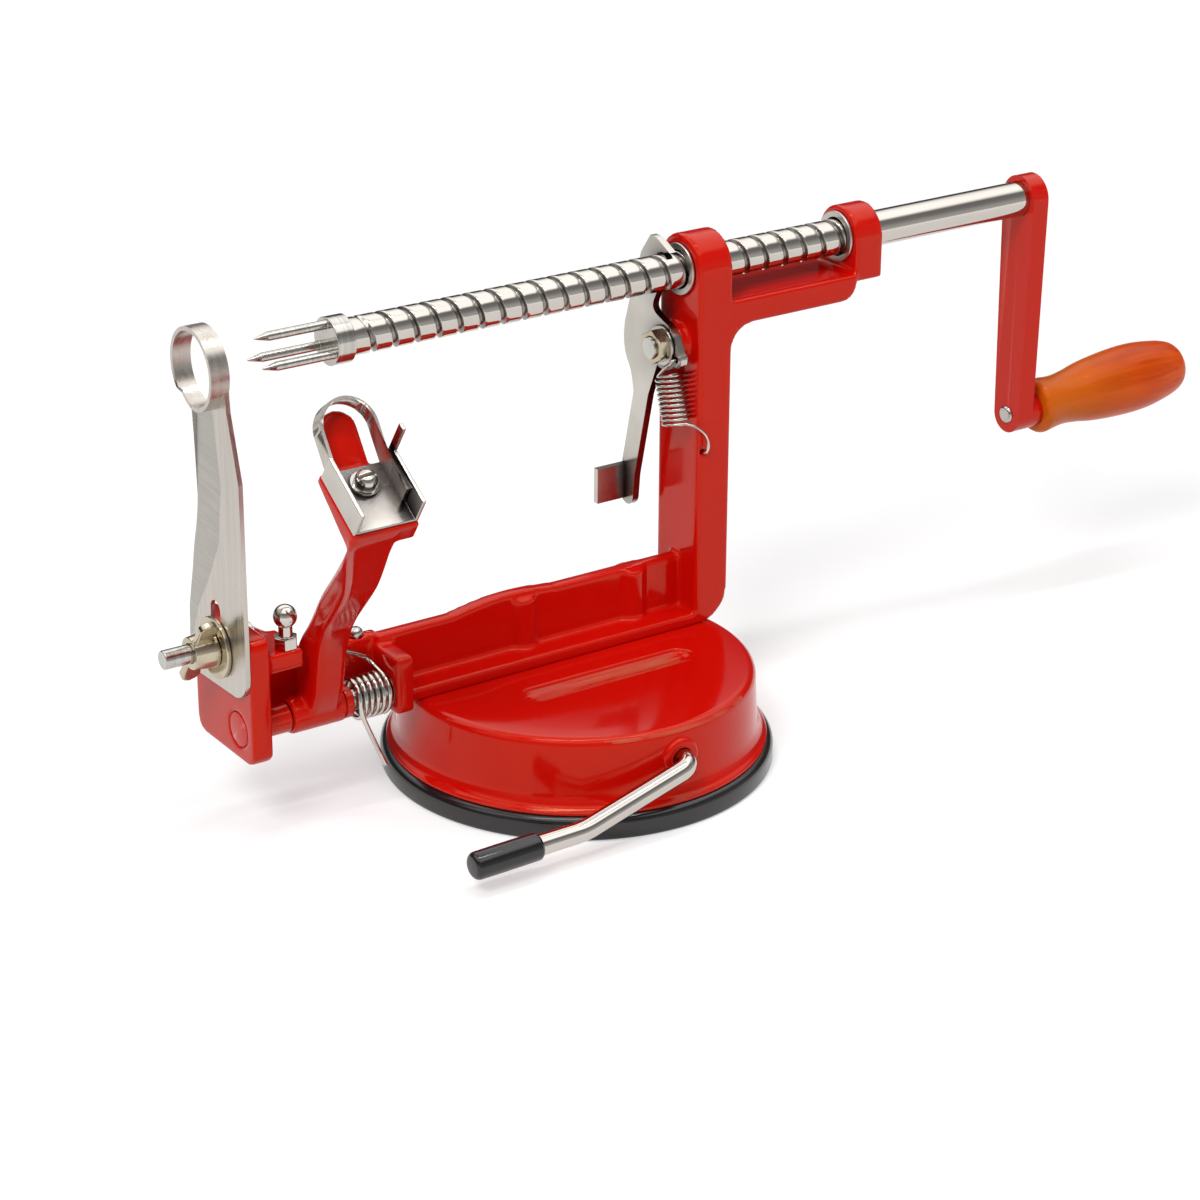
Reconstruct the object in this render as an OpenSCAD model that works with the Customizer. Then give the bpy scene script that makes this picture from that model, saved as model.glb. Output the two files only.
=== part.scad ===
// Hand cranked apple peeler, corer and slicer on a suction base.
// Millimetres, +Z up, +X from the fork to the crank, +Y away from the user.
// The origin is the middle of the base on the table.

/* [Base] */
// Radius of the base at its top edge
base_r = 47.4; // [46:0.2:50]
// Height of the base's top above the table
base_h = 26.2; // [25.4:0.2:30]
// Thickness of the base's shell
base_wall = 2.6; // [2:0.1:2.8]
// How far the flared skirt stands out from the base's top edge
skirt_out = 3.4; // [2.6:0.2:4.6]
// How far the rubber pad stands out from the skirt
pad_out = 1.7; // [1.2:0.1:4]
// Height of the rubber pad's rim
pad_h = 6.4; // [5:0.2:7]

/* [Suction lever] */
// Radius of the bent lever rod
rod_r = 2.7; // [2.3:0.1:2.9]
// Depth of the lever's shaft below the base's top
cam_drop = 8.2; // [7.8:0.1:8.6]
// Throw of the lever's eccentric
cam_throw = 1; // [0.6:0.1:1.1]
// Distance from the base's top edge to the plane of the lever's arm
lever_out = 5.8; // [5.6:0.1:9]
// Length of the lever's arm up to its slight bend
lever_a = 34.2; // [30:0.1:40]
// Length of the lever's arm past its slight bend
lever_b = 30.7; // [28:0.1:40]
// Radius of the soft cap on the lever
cap_r = 3.6; // [3.5:0.1:5]
// Length of the soft cap on the lever
cap_l = 19.5; // [16:0.5:24]

/* [Frame] */
// Distance of the shaft's plane behind the base's middle
shaft_y = 12; // [10:0.5:13]
// Height of the shaft above the table
shaft_z = 125; // [122:0.5:130]
// Width of the foot, the column and the upper arm
beam_w = 18.8; // [18:0.2:20]
// Thickness of the foot
foot_t = 3.4; // [2.8:0.2:4.4]
// Thickness of the upright web on the foot
web_t = 4; // [3:0.2:5]
// Height of the web's top above the base
web_h = 18.3; // [16:0.1:20]
// Left face of the column
column_x = 40.2; // [40:0.2:42]
// Thickness of the column
column_t = 10.5; // [9:0.5:13]
// Left face of the rear lug
lug_x = 92.3; // [86:0.2:96]
// Thickness of the rear lug
lug_t = 9; // [7:0.2:11]
// Radius of the rear lug's round top
lug_r = 8.4; // [8:0.2:9.6]
// Depth of the upper arm
upper_arm_h = 7; // [5:0.5:8]
// Left face of the end plate
plate_x = -98.5; // [-102:0.5:-98]
// Thickness of the end plate
plate_t = 5.6; // [5:0.2:6]
// Top of the end plate above the table
plate_top = 57; // [56.5:0.5:60]
// Bottom of the end plate above the table
plate_bottom = 22.5; // [20:0.5:24]

/* [Shaft and crank] */
// Radius of the shaft
shaft_r = 4.9; // [4.6:0.1:5]
// Travel of the shaft in one turn
pitch = 6.35; // [6.35:0.01:6.36]
// Depth of the helical groove
groove_d = 0.9; // [0.8:0.05:1]
// Width of the helical groove at the shaft's surface
groove_w = 1.9; // [1.8:0.1:2.2]
// Left end of the threaded length
thread_x = -61; // [-63:0.5:-59]
// Left face of the crank
crank_x = 156; // [154:0.2:158]
// Thickness of the crank
crank_t = 5.4; // [5:0.2:8]
// Distance from the shaft to the crank's pin
crank_throw = 64.4; // [60:0.1:70]
// Radius of the crank's upper end
crank_r1 = 6.6; // [6.2:0.1:8]
// Radius of the crank's lower end
crank_r2 = 5.3; // [5:0.1:5.6]
// Radius of the handle's pin
handle_pin_r = 2.5; // [2:0.1:2.8]
// Length of the wooden grip
grip_l = 55; // [52:1:64]
// Radius of the wooden grip at its widest
grip_r = 10; // [9:0.1:12]

/* [Fork and bushes] */
// Radius of the fork's hub
fork_r = 6.2; // [5.8:0.1:7]
// Length of the fork's tines
tine_l = 20; // [16:1:22]
// Radius of a tine
tine_r = 1.2; // [1:0.1:1.4]
// Outer radius of the shaft bushes
bush_r = 6.2; // [6:0.1:6.6]

/* [Release lever] */
// Drop of the lever's pivot below the shaft
pivot_drop = 20.2; // [19.6:0.1:21]
// Middle of the lever's plate along the shaft
release_x = 36; // [35.95:0.05:36.1]
// Thickness of the lever's plate
release_t = 2; // [1.6:0.1:2.4]
// Radius of the lever's pivot bolt
pivot_r = 3; // [2.6:0.1:3.2]
// Length of the thumb tab
tab_l = 9; // [8:0.5:13]

/* [Slicing blade] */
// Height of the blade's bolt above the table
bolt_z = 51; // [49:0.5:52]
// Radius of the blade's bolt
bolt_r = 2.5; // [2:0.1:2.8]
// Thickness of the slicing blade
blade_t = 1.2; // [1:0.1:1.6]
// Width of the slicing blade at its foot
blade_w = 30; // [28:0.5:32]
// Inner radius of the corer ring
corer_r = 9.5; // [9:0.1:11]
// Length of the corer ring
corer_l = 5; // [4:0.5:9]

/* [Peeling arm] */
// Distance of the arm's pivot pin behind the base's middle
pin_y = 5; // [4:0.1:5.2]
// Height of the arm's pivot pin above the table
pin_z = 30.5; // [30:0.1:32]
// Radius of the arm's pivot pin
pin_r = 3; // [2.6:0.1:3.2]
// Outer radius of the arm's hub
hub_r = 4.7; // [4.4:0.1:5.2]
// Left face of the arm's bar
bar_x = -80.2; // [-81.2:0.5:-79.2]
// Width of the arm's bar
bar_w = 8.7; // [8:0.1:9]
// Slope of the arm's head above the horizontal, in degrees
head_slope = 33.5; // [32:0.5:36]
// Width of the arm's head
head_w = 17.8; // [17.6:0.2:19]
// Width of the blade clamp
clamp_w = 17.4; // [16:0.2:17.6]
// Height of the blade clamp's side walls
clamp_h = 6.6; // [6.2:0.1:8]
// Width of the peeling blade's strip
strip_w = 4.5; // [4:0.5:6]
// Thickness of the peeling blade's strip
strip_t = 0.8; // [0.6:0.1:1]

/* [Springs] */
// Wire diameter of the arm's torsion spring
arm_wire = 1.3; // [1.2:0.1:1.4]
// Middle radius of the arm's torsion spring
arm_coil_r = 5.3; // [5:0.1:5.5]
// Turns of the arm's torsion spring
arm_turns = 5.25; // [4.25:1:5.25]
// Wire diameter of the release lever's spring
pull_wire = 0.85; // [0.7:0.05:0.9]
// Middle radius of the release lever's spring
pull_coil_r = 3.5; // [3.2:0.1:3.6]
// Turns of the release lever's spring
pull_turns = 10; // [8:1:11]

/* [Hidden] */
// Clearances: running fits, bolted or pressed fits, moving faces and the shaft's thread
fit = 0.06;
seat = 0.05;
gap = 0.4;
thread_gap = 0.35;
// Roundness of all exact round faces
$fn = 64;
cast_red = [0.80, 0.07, 0.03];
steel = [0.75, 0.74, 0.72];
chrome = [0.85, 0.85, 0.87];
zinc = [0.72, 0.68, 0.58];
rubber = [0.12, 0.11, 0.11];
wood = [0.85, 0.43, 0.10];

// Points on a circle's arc
function arc(c, r, a0, a1, n = 8) =
    [for (i = [0:n]) c + r * [cos(a0 + (a1 - a0) * i / n), sin(a0 + (a1 - a0) * i / n)]];
// Outline of a rectangle with round corners
function round_rect(x0, y0, x1, y1, r) = concat(
    arc([x1 - r, y1 - r], r, 0, 90), arc([x0 + r, y1 - r], r, 90, 180),
    arc([x0 + r, y0 + r], r, 180, 270), arc([x1 - r, y0 + r], r, 270, 360));
// A smooth curve through hand placed points, with n steps between neighbours
function through(p, n) = concat([for (i = [0:len(p) - 2], k = [0:n - 1])
    let (a = p[max(i - 1, 0)], b = p[i], c = p[i + 1], d = p[min(i + 2, len(p) - 1)], t = k / n)
    b + t * (c - a) / 2 + t * t * (a - 2.5 * b + 2 * c - d / 2)
        + t * t * t * (1.5 * b - 1.5 * c + (d - a) / 2)], [p[len(p) - 1]]);

// An outline in Y and Z, thickened along X
module yz_plate(x0, t) {
    translate([x0, 0, 0]) rotate([90, 0, 90]) linear_extrude(t) children();
}
// An outline in X and Z, thickened along Y
module xz_plate(y0, t) {
    translate([0, y0 + t, 0]) rotate([90, 0, 0]) linear_extrude(t) children();
}
// A round bar along X
module x_rod(x0, x1, r, y, z) {
    translate([x0, y, z]) rotate([0, 90, 0]) cylinder(h = x1 - x0, r = r);
}
// A round bar along Y
module y_rod(y0, y1, r, x, z) {
    translate([x, y0, z]) rotate([-90, 0, 0]) cylinder(h = y1 - y0, r = r);
}

// One unbroken round tube along a list of points, closed at both ends
function unit(v) = v / norm(v);
function tangent(p, i) = unit(p[min(i + 1, len(p) - 1)] - p[max(i - 1, 0)]);
function side_on(t, hint) = unit(hint - (hint * t) * t);
function carried(p, i, s) = i == 0 ? s : side_on(tangent(p, i), carried(p, i - 1, s));
module tube(p, d, hint, sides = 6) {
    rings = [for (i = [0:len(p) - 1])
        let (t = tangent(p, i), u = side_on(t, carried(p, i, hint)), v = cross(t, u))
        for (k = [0:sides - 1]) p[i] + d / 2 * (u * cos(360 * k / sides) + v * sin(360 * k / sides))];
    walls = [for (i = [0:len(p) - 2], k = [0:sides - 1])
        let (a = i * sides + k, b = i * sides + (k + 1) % sides)
        each [[a, b + sides, b], [a, a + sides, b + sides]]];
    first = [for (k = [1:sides - 2]) [0, k, k + 1]];
    tail = (len(p) - 1) * sides;
    last = [for (k = [1:sides - 2]) [tail, tail + k + 1, tail + k]];
    polyhedron(rings, concat(walls, first, last));
}
// Least gap of a tube to itself, measured between points more than a half turn apart
function self_gap(p, d, apart) =
    min([for (i = [0:len(p) - 1], j = [i + apart:max(i + apart, len(p) - 1)])
        if (j < len(p)) norm(p[i] - p[j])]) - d;

// Base
skirt_r = base_r + skirt_out;
pad_r = skirt_r + pad_out;
cam_z = base_h - cam_drop;
lever_y = base_r + lever_out;
pad_lip = 8.5;
film_t = 1.6;
stud_plate_z = film_t + 2 * cam_throw + gap;
stud_plate_t = 2;
stud_plate_r = 14;
stud_r = 4.8;
lug_gap = stud_r + gap;
cam_lug_t = 3;
eccentric_r = rod_r - cam_throw - 0.1;
eccentric_slack = 0.35;
ceiling = base_h - base_wall;
screw_xs = [-10, 25];
screw_r = 1.9;
screw_head_r = 3.4;
screw_head_h = 2.2;

module base_profile() {
    top_round = 2.5;
    inner_round = top_round - base_wall / 2;
    skirt_h = 1.2;
    flare_h = 4.8;
    wall_r = base_r + 0.8;
    polygon(concat(
        [[skirt_r, pad_h]],
        [for (t = [90:-15:0])
            [skirt_r - (skirt_r - wall_r) * cos(t), pad_h + skirt_h + flare_h * (1 - sin(t))]],
        arc([base_r - top_round, base_h - top_round], top_round, 0, 90),
        [[0, base_h], [0, ceiling]],
        arc([base_r - base_wall - inner_round, ceiling - inner_round], inner_round, 90, 0),
        [[wall_r - base_wall, pad_h]]));
}

module base_housing() {
    boss_r = rod_r + 2.6;
    boss_out = base_r + lever_out - bend_r - gap;
    color(cast_red) difference() {
        union() {
            rotate_extrude($fn = 128) base_profile();
            y_rod(-boss_out, -base_r + base_wall, boss_r, 0, cam_z);
            for (s = [-1, 1]) translate([-stud_r, s > 0 ? lug_gap : -lug_gap - cam_lug_t, cam_z - 5])
                cube([2 * stud_r, cam_lug_t, ceiling - cam_z + 5 + base_wall / 2]);
        }
        y_rod(-boss_out - 1, lug_gap + cam_lug_t + 1, rod_r + fit, 0, cam_z);
        for (x = screw_xs) translate([x, shaft_y, base_h - 2 * base_wall])
            cylinder(h = 3 * base_wall, r = screw_r + seat);
        top_recess();
    }
}

// The long shallow panel pressed into the base's top, in front of the frame
module top_recess() {
    recess_l = 1.1 * base_r;
    recess_w = 8;
    recess_d = 1.2;
    recess_x = 3;
    recess_y = -11;
    translate([recess_x, recess_y, base_h - recess_d]) linear_extrude(2 * recess_d)
        polygon(round_rect(-recess_l / 2, -recess_w / 2, recess_l / 2, recess_w / 2, recess_w / 2 - 0.01));
}

module suction_pad() {
    color(rubber) rotate_extrude($fn = 128) polygon(concat(
        [[0, 0]],
        arc([pad_r - 2, 2], 2, 270, 360),
        arc([pad_r - 2, pad_h - 2], 2, 0, 90),
        [[pad_r - pad_lip, pad_h], [pad_r - pad_lip - 1, film_t], [0, film_t]]));
}

module suction_stud() {
    slot_w = 2 * (cam_throw + eccentric_r + gap / 2);
    slot_h = 2 * (eccentric_r + eccentric_slack);
    stud_top = cam_z + cam_throw + slot_h / 2 + 1;
    color(steel) difference() {
        union() {
            translate([0, 0, stud_plate_z]) cylinder(h = stud_plate_t, r = stud_plate_r);
            translate([0, 0, stud_plate_z]) cylinder(h = stud_top - stud_plate_z, r = stud_r);
        }
        translate([-slot_w / 2, -stud_r - 1, cam_z + cam_throw - slot_h / 2])
            cube([slot_w, 2 * stud_r + 2, slot_h]);
    }
}

// The lever's rod: shaft along Y, a quarter bend, then two straight lengths that run down to the left
bend_r = 3.8;
slope_a = 16.2;
slope_b = 1;

// The arm's frame: the lever's shaft lies on Y, and the arm runs along -X
module lever_frame() {
    translate([0, 0, cam_z]) rotate([0, -slope_a, 0]) children();
}
// The last length's frame: past the slight bend, along -X from the bend
module lever_end_frame(share = 1) {
    lever_frame() translate([-lever_a, -lever_y, 0]) rotate([0, share * (slope_a - slope_b), 0]) children();
}
// A block on one side of the slight bend's mitre
module mitre_block(side) {
    size = 4 * rod_r;
    lever_end_frame(0.5) translate([side > 0 ? 0 : -size, -size / 2, -size / 2]) cube(size);
}

module suction_lever() {
    inset = 1;
    color(chrome) union() {
        y_rod(-lug_gap - inset, lug_gap + inset, eccentric_r, 0, cam_z + cam_throw);
        lever_frame() union() {
            y_rod(lug_gap, lug_gap + cam_lug_t, rod_r, 0, 0);
            y_rod(-lever_y + bend_r, -lug_gap, rod_r, 0, 0);
            translate([-bend_r, bend_r - lever_y, 0])
                rotate(270) rotate_extrude(angle = 90) translate([bend_r, 0]) circle(r = rod_r);
        }
        difference() {
            lever_frame() x_rod(-lever_a - inset, -bend_r, rod_r, -lever_y, 0);
            mitre_block(-1);
        }
        difference() {
            lever_end_frame() x_rod(-lever_b, inset, rod_r, 0, 0);
            mitre_block(1);
        }
    }
}

module lever_cap() {
    cap_wall = 2.5;
    round_r = 2.5;
    color(rubber) lever_end_frame() translate([cap_l - cap_wall - lever_b, 0, 0]) rotate([0, -90, 0])
        rotate_extrude() polygon(concat(
            [[rod_r + seat, 0], [cap_r, 0]], arc([cap_r - round_r, cap_l - round_r], round_r, 0, 90),
            [[0, cap_l], [0, cap_l - cap_wall + seat], [rod_r + seat, cap_l - cap_wall + seat]]));
}

// Frame
frame_y0 = shaft_y - beam_w / 2;
frame_y1 = shaft_y + beam_w / 2;
web_top = base_h + web_h;
plate_right = plate_x + plate_t;
ear_x = -55.5;
ear_t = 5;
ear_top = web_top - 3.5;
bay_y = 12;
column_right = column_x + column_t;
pivot_boss_r = 5.6;
pivot_boss_x = release_x + release_t / 2 + gap / 2;
boss_r = 4.2;
pin_head_r = 4.7;
pin_head_t = 1.6;
bush_seat_r = bush_r + seat;
bolt_head_r = bolt_r + 2.2;
bolt_head_t = 2.4;
post_x = -86;
post_y = shaft_y - blade_w / 2 + 4.5;
post_r = 1.8;
post_seat_z = 51.5;
shelf_rim = 3.4;
shelf_t = 5;
stop_x = -59;
stop_r = 1.5;
pivot_z = shaft_z - pivot_drop;
hole_drop = 28.8;
spring_hole = [column_x + 1.8, pivot_z - hole_drop];
spring_hole_r = 0.9;

module frame_side() {
    arm_bottom = shaft_z - 15.5;
    arm_top = arm_bottom + upper_arm_h;
    inner_r = 7;
    corner_r = 9;
    lift_r = 5;
    polygon(concat(
        [[column_x, base_h]],
        arc([column_right - corner_r, base_h + corner_r], corner_r, 270, 360),
        arc([column_right + inner_r, arm_bottom - inner_r], inner_r, 180, 90),
        arc([lug_x - lift_r, arm_bottom + lift_r], lift_r, 270, 360),
        [[lug_x, arm_top], [column_right, arm_top], [column_right, shaft_z], [column_x, shaft_z]]));
}

module frame() {
    hump = 1.1;
    color(cast_red) difference() {
        union() {
            xz_plate(frame_y0, beam_w) frame_side();
            x_rod(column_x, column_right, beam_w / 2, shaft_y, shaft_z);
            // Rear lug with a round top and a square foot
            x_rod(lug_x, lug_x + lug_t, lug_r, shaft_y, shaft_z);
            translate([lug_x, shaft_y - lug_r, shaft_z - 11]) cube([lug_t, 2 * lug_r, 11]);
            // Foot, web and the two screw bosses on it
            translate([ear_x, frame_y0, base_h]) cube([column_x - ear_x + 1, beam_w, foot_t]);
            xz_plate(shaft_y - web_t / 2, web_t) polygon(concat(
                [[column_x + 1, base_h + 1], [column_x + 1, web_top]],
                through([[0, web_top], [-12, web_top + hump], [-22, web_top + hump / 2],
                    [-32, web_top - hump]], 4),
                [[ear_x + 1, web_top - hump], [ear_x + 1, base_h + 1]]));
            for (x = screw_xs) translate([x, shaft_y, base_h]) cylinder(h = web_h - 0.8, r = boss_r);
            // End ear that carries the arm's pin
            yz_plate(ear_x, ear_t)
                polygon(round_rect(pin_y - 6, pin_z - 5.5, frame_y1, ear_top, 2));
            // Bay web and its gusset up to the end plate
            xz_plate(bay_y, web_t) polygon([[plate_right - 1, pin_z - 6], [ear_x + 1, pin_z - 5],
                [ear_x + 1, web_top - hump], [bar_x + 6.2, web_top - hump], [plate_right + 3, plate_top - 3],
                [plate_right - 1, plate_top - 3]]);
            yz_plate(plate_x, plate_t) polygon(round_rect(shaft_y - blade_w / 2, plate_bottom,
                shaft_y + blade_w / 2, plate_top, 3.5));
            // Shelf for the latch post
            translate([plate_right - 1, post_y - shelf_rim, post_seat_z - shelf_t])
                cube([post_x - plate_right + 1 + shelf_rim, bay_y + 1 - post_y + shelf_rim, shelf_t]);
            x_rod(pivot_boss_x, column_x + 1, pivot_boss_r, shaft_y, pivot_z);
        }
        x_rod(column_x - 1, column_right + 1, bush_seat_r, shaft_y, shaft_z);
        x_rod(lug_x - 1, lug_x + lug_t + 1, bush_r + fit, shaft_y, shaft_z);
        x_rod(pivot_boss_x - 1, column_right - 2, pivot_r + seat, shaft_y, pivot_z);
        x_rod(plate_x - 1, ear_x + ear_t + 1, pin_r + seat, pin_y, pin_z);
        x_rod(plate_x - 1, plate_x + pin_head_t, pin_head_r + seat, pin_y, pin_z);
        x_rod(plate_x - 1, plate_right + 1, bolt_r + seat, shaft_y, bolt_z);
        x_rod(plate_right, plate_right + bolt_head_t + gap, bolt_head_r + gap, shaft_y, bolt_z);
        for (x = screw_xs) translate([x, shaft_y, base_h - 1]) cylinder(h = web_h - 3, r = screw_r + seat);
        translate([post_x, post_y, post_seat_z - shelf_t - 1]) cylinder(h = shelf_t + 2, r = post_r + seat);
        translate([stop_x, bay_y + web_t / 2, web_top - 9]) cylinder(h = 10, r = stop_r + seat);
        y_rod(frame_y0 - 1, frame_y0 + 5, spring_hole_r, spring_hole[0], spring_hole[1]);
    }
}

module frame_screws() {
    screw_l = 16;
    color(steel) for (x = screw_xs) translate([x, shaft_y, ceiling]) union() {
        cylinder(h = screw_l, r = screw_r);
        difference() {
            translate([0, 0, -screw_head_h]) cylinder(h = screw_head_h, r = screw_head_r);
            translate([-0.5, -screw_head_r, -screw_head_h - 1]) cube([1, 2 * screw_head_r, 2]);
        }
    }
}

// Bushes
bush_flange_r = bush_r + 0.8;
bush_flange_t = 0.9;
module flanged_bush(x0, l, bore) {
    difference() {
        union() {
            x_rod(x0, x0 + l, bush_r, shaft_y, shaft_z);
            x_rod(x0 - bush_flange_t, x0, bush_flange_r, shaft_y, shaft_z);
        }
        x_rod(x0 - 2, x0 + l + 1, bore, shaft_y, shaft_z);
    }
}
module front_bush() {
    color(steel) flanged_bush(column_x, column_t, shaft_r + thread_gap);
}
module rear_bush() {
    color(steel) flanged_bush(lug_x - gap / 4, lug_t, shaft_r + thread_gap);
}

// Shaft with one helical groove, as a closed skin between two flat ends
thread_end = lug_x + lug_t + 3;
crank_right = crank_x + crank_t;
shaft_end = crank_right - 1.5;
spigot_r = 3;
spigot_l = 4;
thread_n = 16;
run_out = 0.5;
end_chamfer = 0.2;
// The groove passes the release lever's tooth, at an angle measured from +Y towards +Z
tooth_angle = -18;
groove_x = release_x - groove_w / 2;

module thread() {
    // Groove steps from its left end to its right end, thread_n steps to a turn
    first_x = thread_x + 2;
    phase = (first_x - groove_x) / pitch * 360 + tooth_angle;
    steps = floor((thread_end - 2 - groove_w - first_x) / pitch) * thread_n;
    function angle(k) = phase + 360 * k / thread_n;
    function at(x, r, k) = [x, shaft_y + r * cos(angle(k)), shaft_z + r * sin(angle(k))];
    function depth(k) = groove_d * min(1, k / thread_n / run_out, (steps - k) / thread_n / run_out);
    function lane(k, j) = at(first_x + pitch * k / thread_n + groove_w * [0, 0.22, 0.78, 1][j],
        shaft_r - (j == 1 || j == 2 ? depth(k) : 0), k);
    left = [for (k = [0:thread_n - 1]) at(thread_x, shaft_r - end_chamfer, k)];
    right = [for (k = [0:thread_n - 1]) at(thread_end, shaft_r - end_chamfer, steps + k)];
    lanes = [for (k = [0:steps], j = [0:3]) lane(k, j)];
    p0 = thread_n;
    q0 = thread_n + 4 * (steps + 1);
    function id(k, j) = p0 + 4 * k + j;
    function two(a, b, c, d) = [[a, b, c], [a, c, d]];
    groove = [for (k = [0:steps - 1], j = [0:2])
        each two(id(k, j), id(k, j + 1), id(k + 1, j + 1), id(k + 1, j))];
    crest = [for (k = [0:steps - thread_n - 1])
        each two(id(k, 3), id(k + thread_n, 0), id(k + thread_n + 1, 0), id(k + 1, 3))];
    start = [for (k = [0:thread_n - 2]) each two(k, id(k, 0), id(k + 1, 0), k + 1)];
    n = thread_n;
    start_seam = [[id(n - 1, 0), 0, n - 1], [id(n - 1, 0), id(0, 0), 0], [id(n - 1, 0), id(0, 1), id(0, 0)],
        [id(n - 1, 0), id(0, 2), id(0, 1)], [id(n - 1, 0), id(0, 3), id(0, 2)],
        [id(n - 1, 0), id(n, 0), id(0, 3)]];
    m = steps - n;
    stop = [for (k = [0:n - 2])
        each two(id(m + 1 + k, 3), q0 + (k + 1) % n, q0 + (k + 2) % n, id(m + 2 + k, 3))];
    stop_seam = [[id(m + 1, 3), q0, q0 + 1], [id(m + 1, 3), id(m, 3), q0],
        [id(m, 3), id(steps, 0), q0], [id(steps, 0), id(steps, 1), q0], [id(steps, 1), id(steps, 2), q0],
        [id(steps, 2), id(steps, 3), q0]];
    left_cap = [for (k = [1:n - 2]) [0, k, k + 1]];
    right_cap = [for (k = [1:n - 2]) [q0, q0 + k + 1, q0 + k]];
    polyhedron(concat(left, lanes, right),
        concat(groove, crest, start, start_seam, stop, stop_seam, left_cap, right_cap));
}

module shaft() {
    color(chrome) union() {
        thread();
        x_rod(thread_end, shaft_end, shaft_r, shaft_y, shaft_z);
        x_rod(thread_x - spigot_l, thread_x, spigot_r, shaft_y, shaft_z);
    }
}

module fork() {
    hub_l = spigot_l + 1.2;
    tip_l = 4;
    tine_ring = fork_r - tine_r - 0.6;
    color(steel) difference() {
        union() {
            x_rod(thread_x - hub_l, thread_x - seat, fork_r, shaft_y, shaft_z);
            for (a = [90, 210, 330]) translate([thread_x - hub_l, shaft_y + tine_ring * cos(a),
                shaft_z + tine_ring * sin(a)]) rotate([0, -90, 0]) union() {
                translate([0, 0, -1]) cylinder(h = tine_l - tip_l + 1, r = tine_r);
                translate([0, 0, tine_l - tip_l]) cylinder(h = tip_l, r1 = tine_r, r2 = 0.2);
            }
        }
        x_rod(thread_x - spigot_l - seat, thread_x + 1, spigot_r + seat, shaft_y, shaft_z);
    }
}

// Crank
handle_z = shaft_z - crank_throw;
crank_boss_l = 3.8;
grip_off = crank_t + crank_boss_l + gap;
handle_pin_l = 42;
pin_lean = 2.5;

// Places a shape on the handle's pin, which leans up a little from the crank's left face
module on_pin() {
    translate([crank_x, shaft_y, handle_z]) rotate([0, 90 - pin_lean, 0]) children();
}

module crank_outline() {
    lean = asin((crank_r1 - crank_r2) / crank_throw);
    polygon(concat(arc([shaft_y, shaft_z], crank_r1, -lean, 180 + lean, 24),
        arc([shaft_y, handle_z], crank_r2, 180 + lean, 360 - lean, 24)));
}

module crank_arm() {
    color(cast_red) difference() {
        union() {
            yz_plate(crank_x, crank_t) crank_outline();
            x_rod(crank_right - 1, crank_right + crank_boss_l, crank_r2 - 0.1, shaft_y, handle_z);
        }
        x_rod(crank_x - 1, shaft_end + seat, shaft_r + seat, shaft_y, shaft_z);
        on_pin() translate([0, 0, -1]) cylinder(h = crank_t + crank_boss_l + 2, r = handle_pin_r + seat);
    }
}

module handle_pin() {
    stub = 0.3;
    color(steel) on_pin() translate([0, 0, -stub])
        cylinder(h = stub + grip_off + handle_pin_l, r = handle_pin_r);
}

module handle_grip() {
    bore_l = handle_pin_l + 1;
    // Radius as a share of the widest, and place as a share of the length
    shares = [[0.74, 0], [0.8, 0.036], [0.73, 0.15], [0.775, 0.25], [0.885, 0.36], [0.965, 0.5], [1, 0.64],
        [0.975, 0.75], [0.895, 0.85], [0.81, 0.91], [0.64, 0.965], [0.35, 1]];
    profile = through([for (q = shares) [q[0] * grip_r, q[1] * grip_l]], 4);
    color(wood) on_pin() translate([0, 0, grip_off]) rotate_extrude()
        polygon(concat([[handle_pin_r + fit, 0]], profile,
            [[0, grip_l], [0, bore_l], [handle_pin_r + fit, bore_l]]));
}

// Release lever: a stamped plate that turns on a bolt below the shaft
pivot = [shaft_y, pivot_z];
notch_r = shaft_r + thread_gap;
swing_r = shaft_z + shaft_r - pivot_z + gap;
ear_hole = pivot + [-6.2, -2.4];
ear_hole_r = 0.9;
tooth_r = 0.4;
tooth_depth = 0.55;
tab_t = 1.8;
tab_h = 10;
tab_z = pivot_z - 49;
tab_back = shaft_y + 18.9;

module release_outline() {
    difference() {
        polygon(concat(
            [pivot + [3.5, 28.6], pivot + [6.4, 28.6], pivot + [10.5, 23], pivot + [15.6, 8.5]],
            through([pivot + [17.8, 1.5], pivot + [18.2, -3], pivot + [17.2, -7.5], pivot + [14.8, -11.5],
                pivot + [13.4, -17]], 4),
            [pivot + [18.4, -38], pivot + [19, -44]],
            arc(pivot + [16.2, -47.6], 2.9, 0, -170, 6),
            [pivot + [12.6, -41], pivot + [6.6, -16]],
            arc(pivot, 6.8, 292, 222, 6),
            arc(ear_hole, 2.3, 250, 120, 6),
            arc(pivot, 6.4, 165, 108, 4),
            through([pivot + [-0.5, 6.5], pivot + [3.6, 8], pivot + [4.8, 10], pivot + [3.4, 13.2]], 3),
            [pivot + [2.6, 15], pivot + [0, swing_r], pivot + [-2.6, swing_r + 0.4]]));
        translate([shaft_y, shaft_z]) circle(r = notch_r);
        translate([shaft_y - 10, pivot_z + 13]) square([10 + tooth_r, swing_r - 13]);
    }
}

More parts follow.
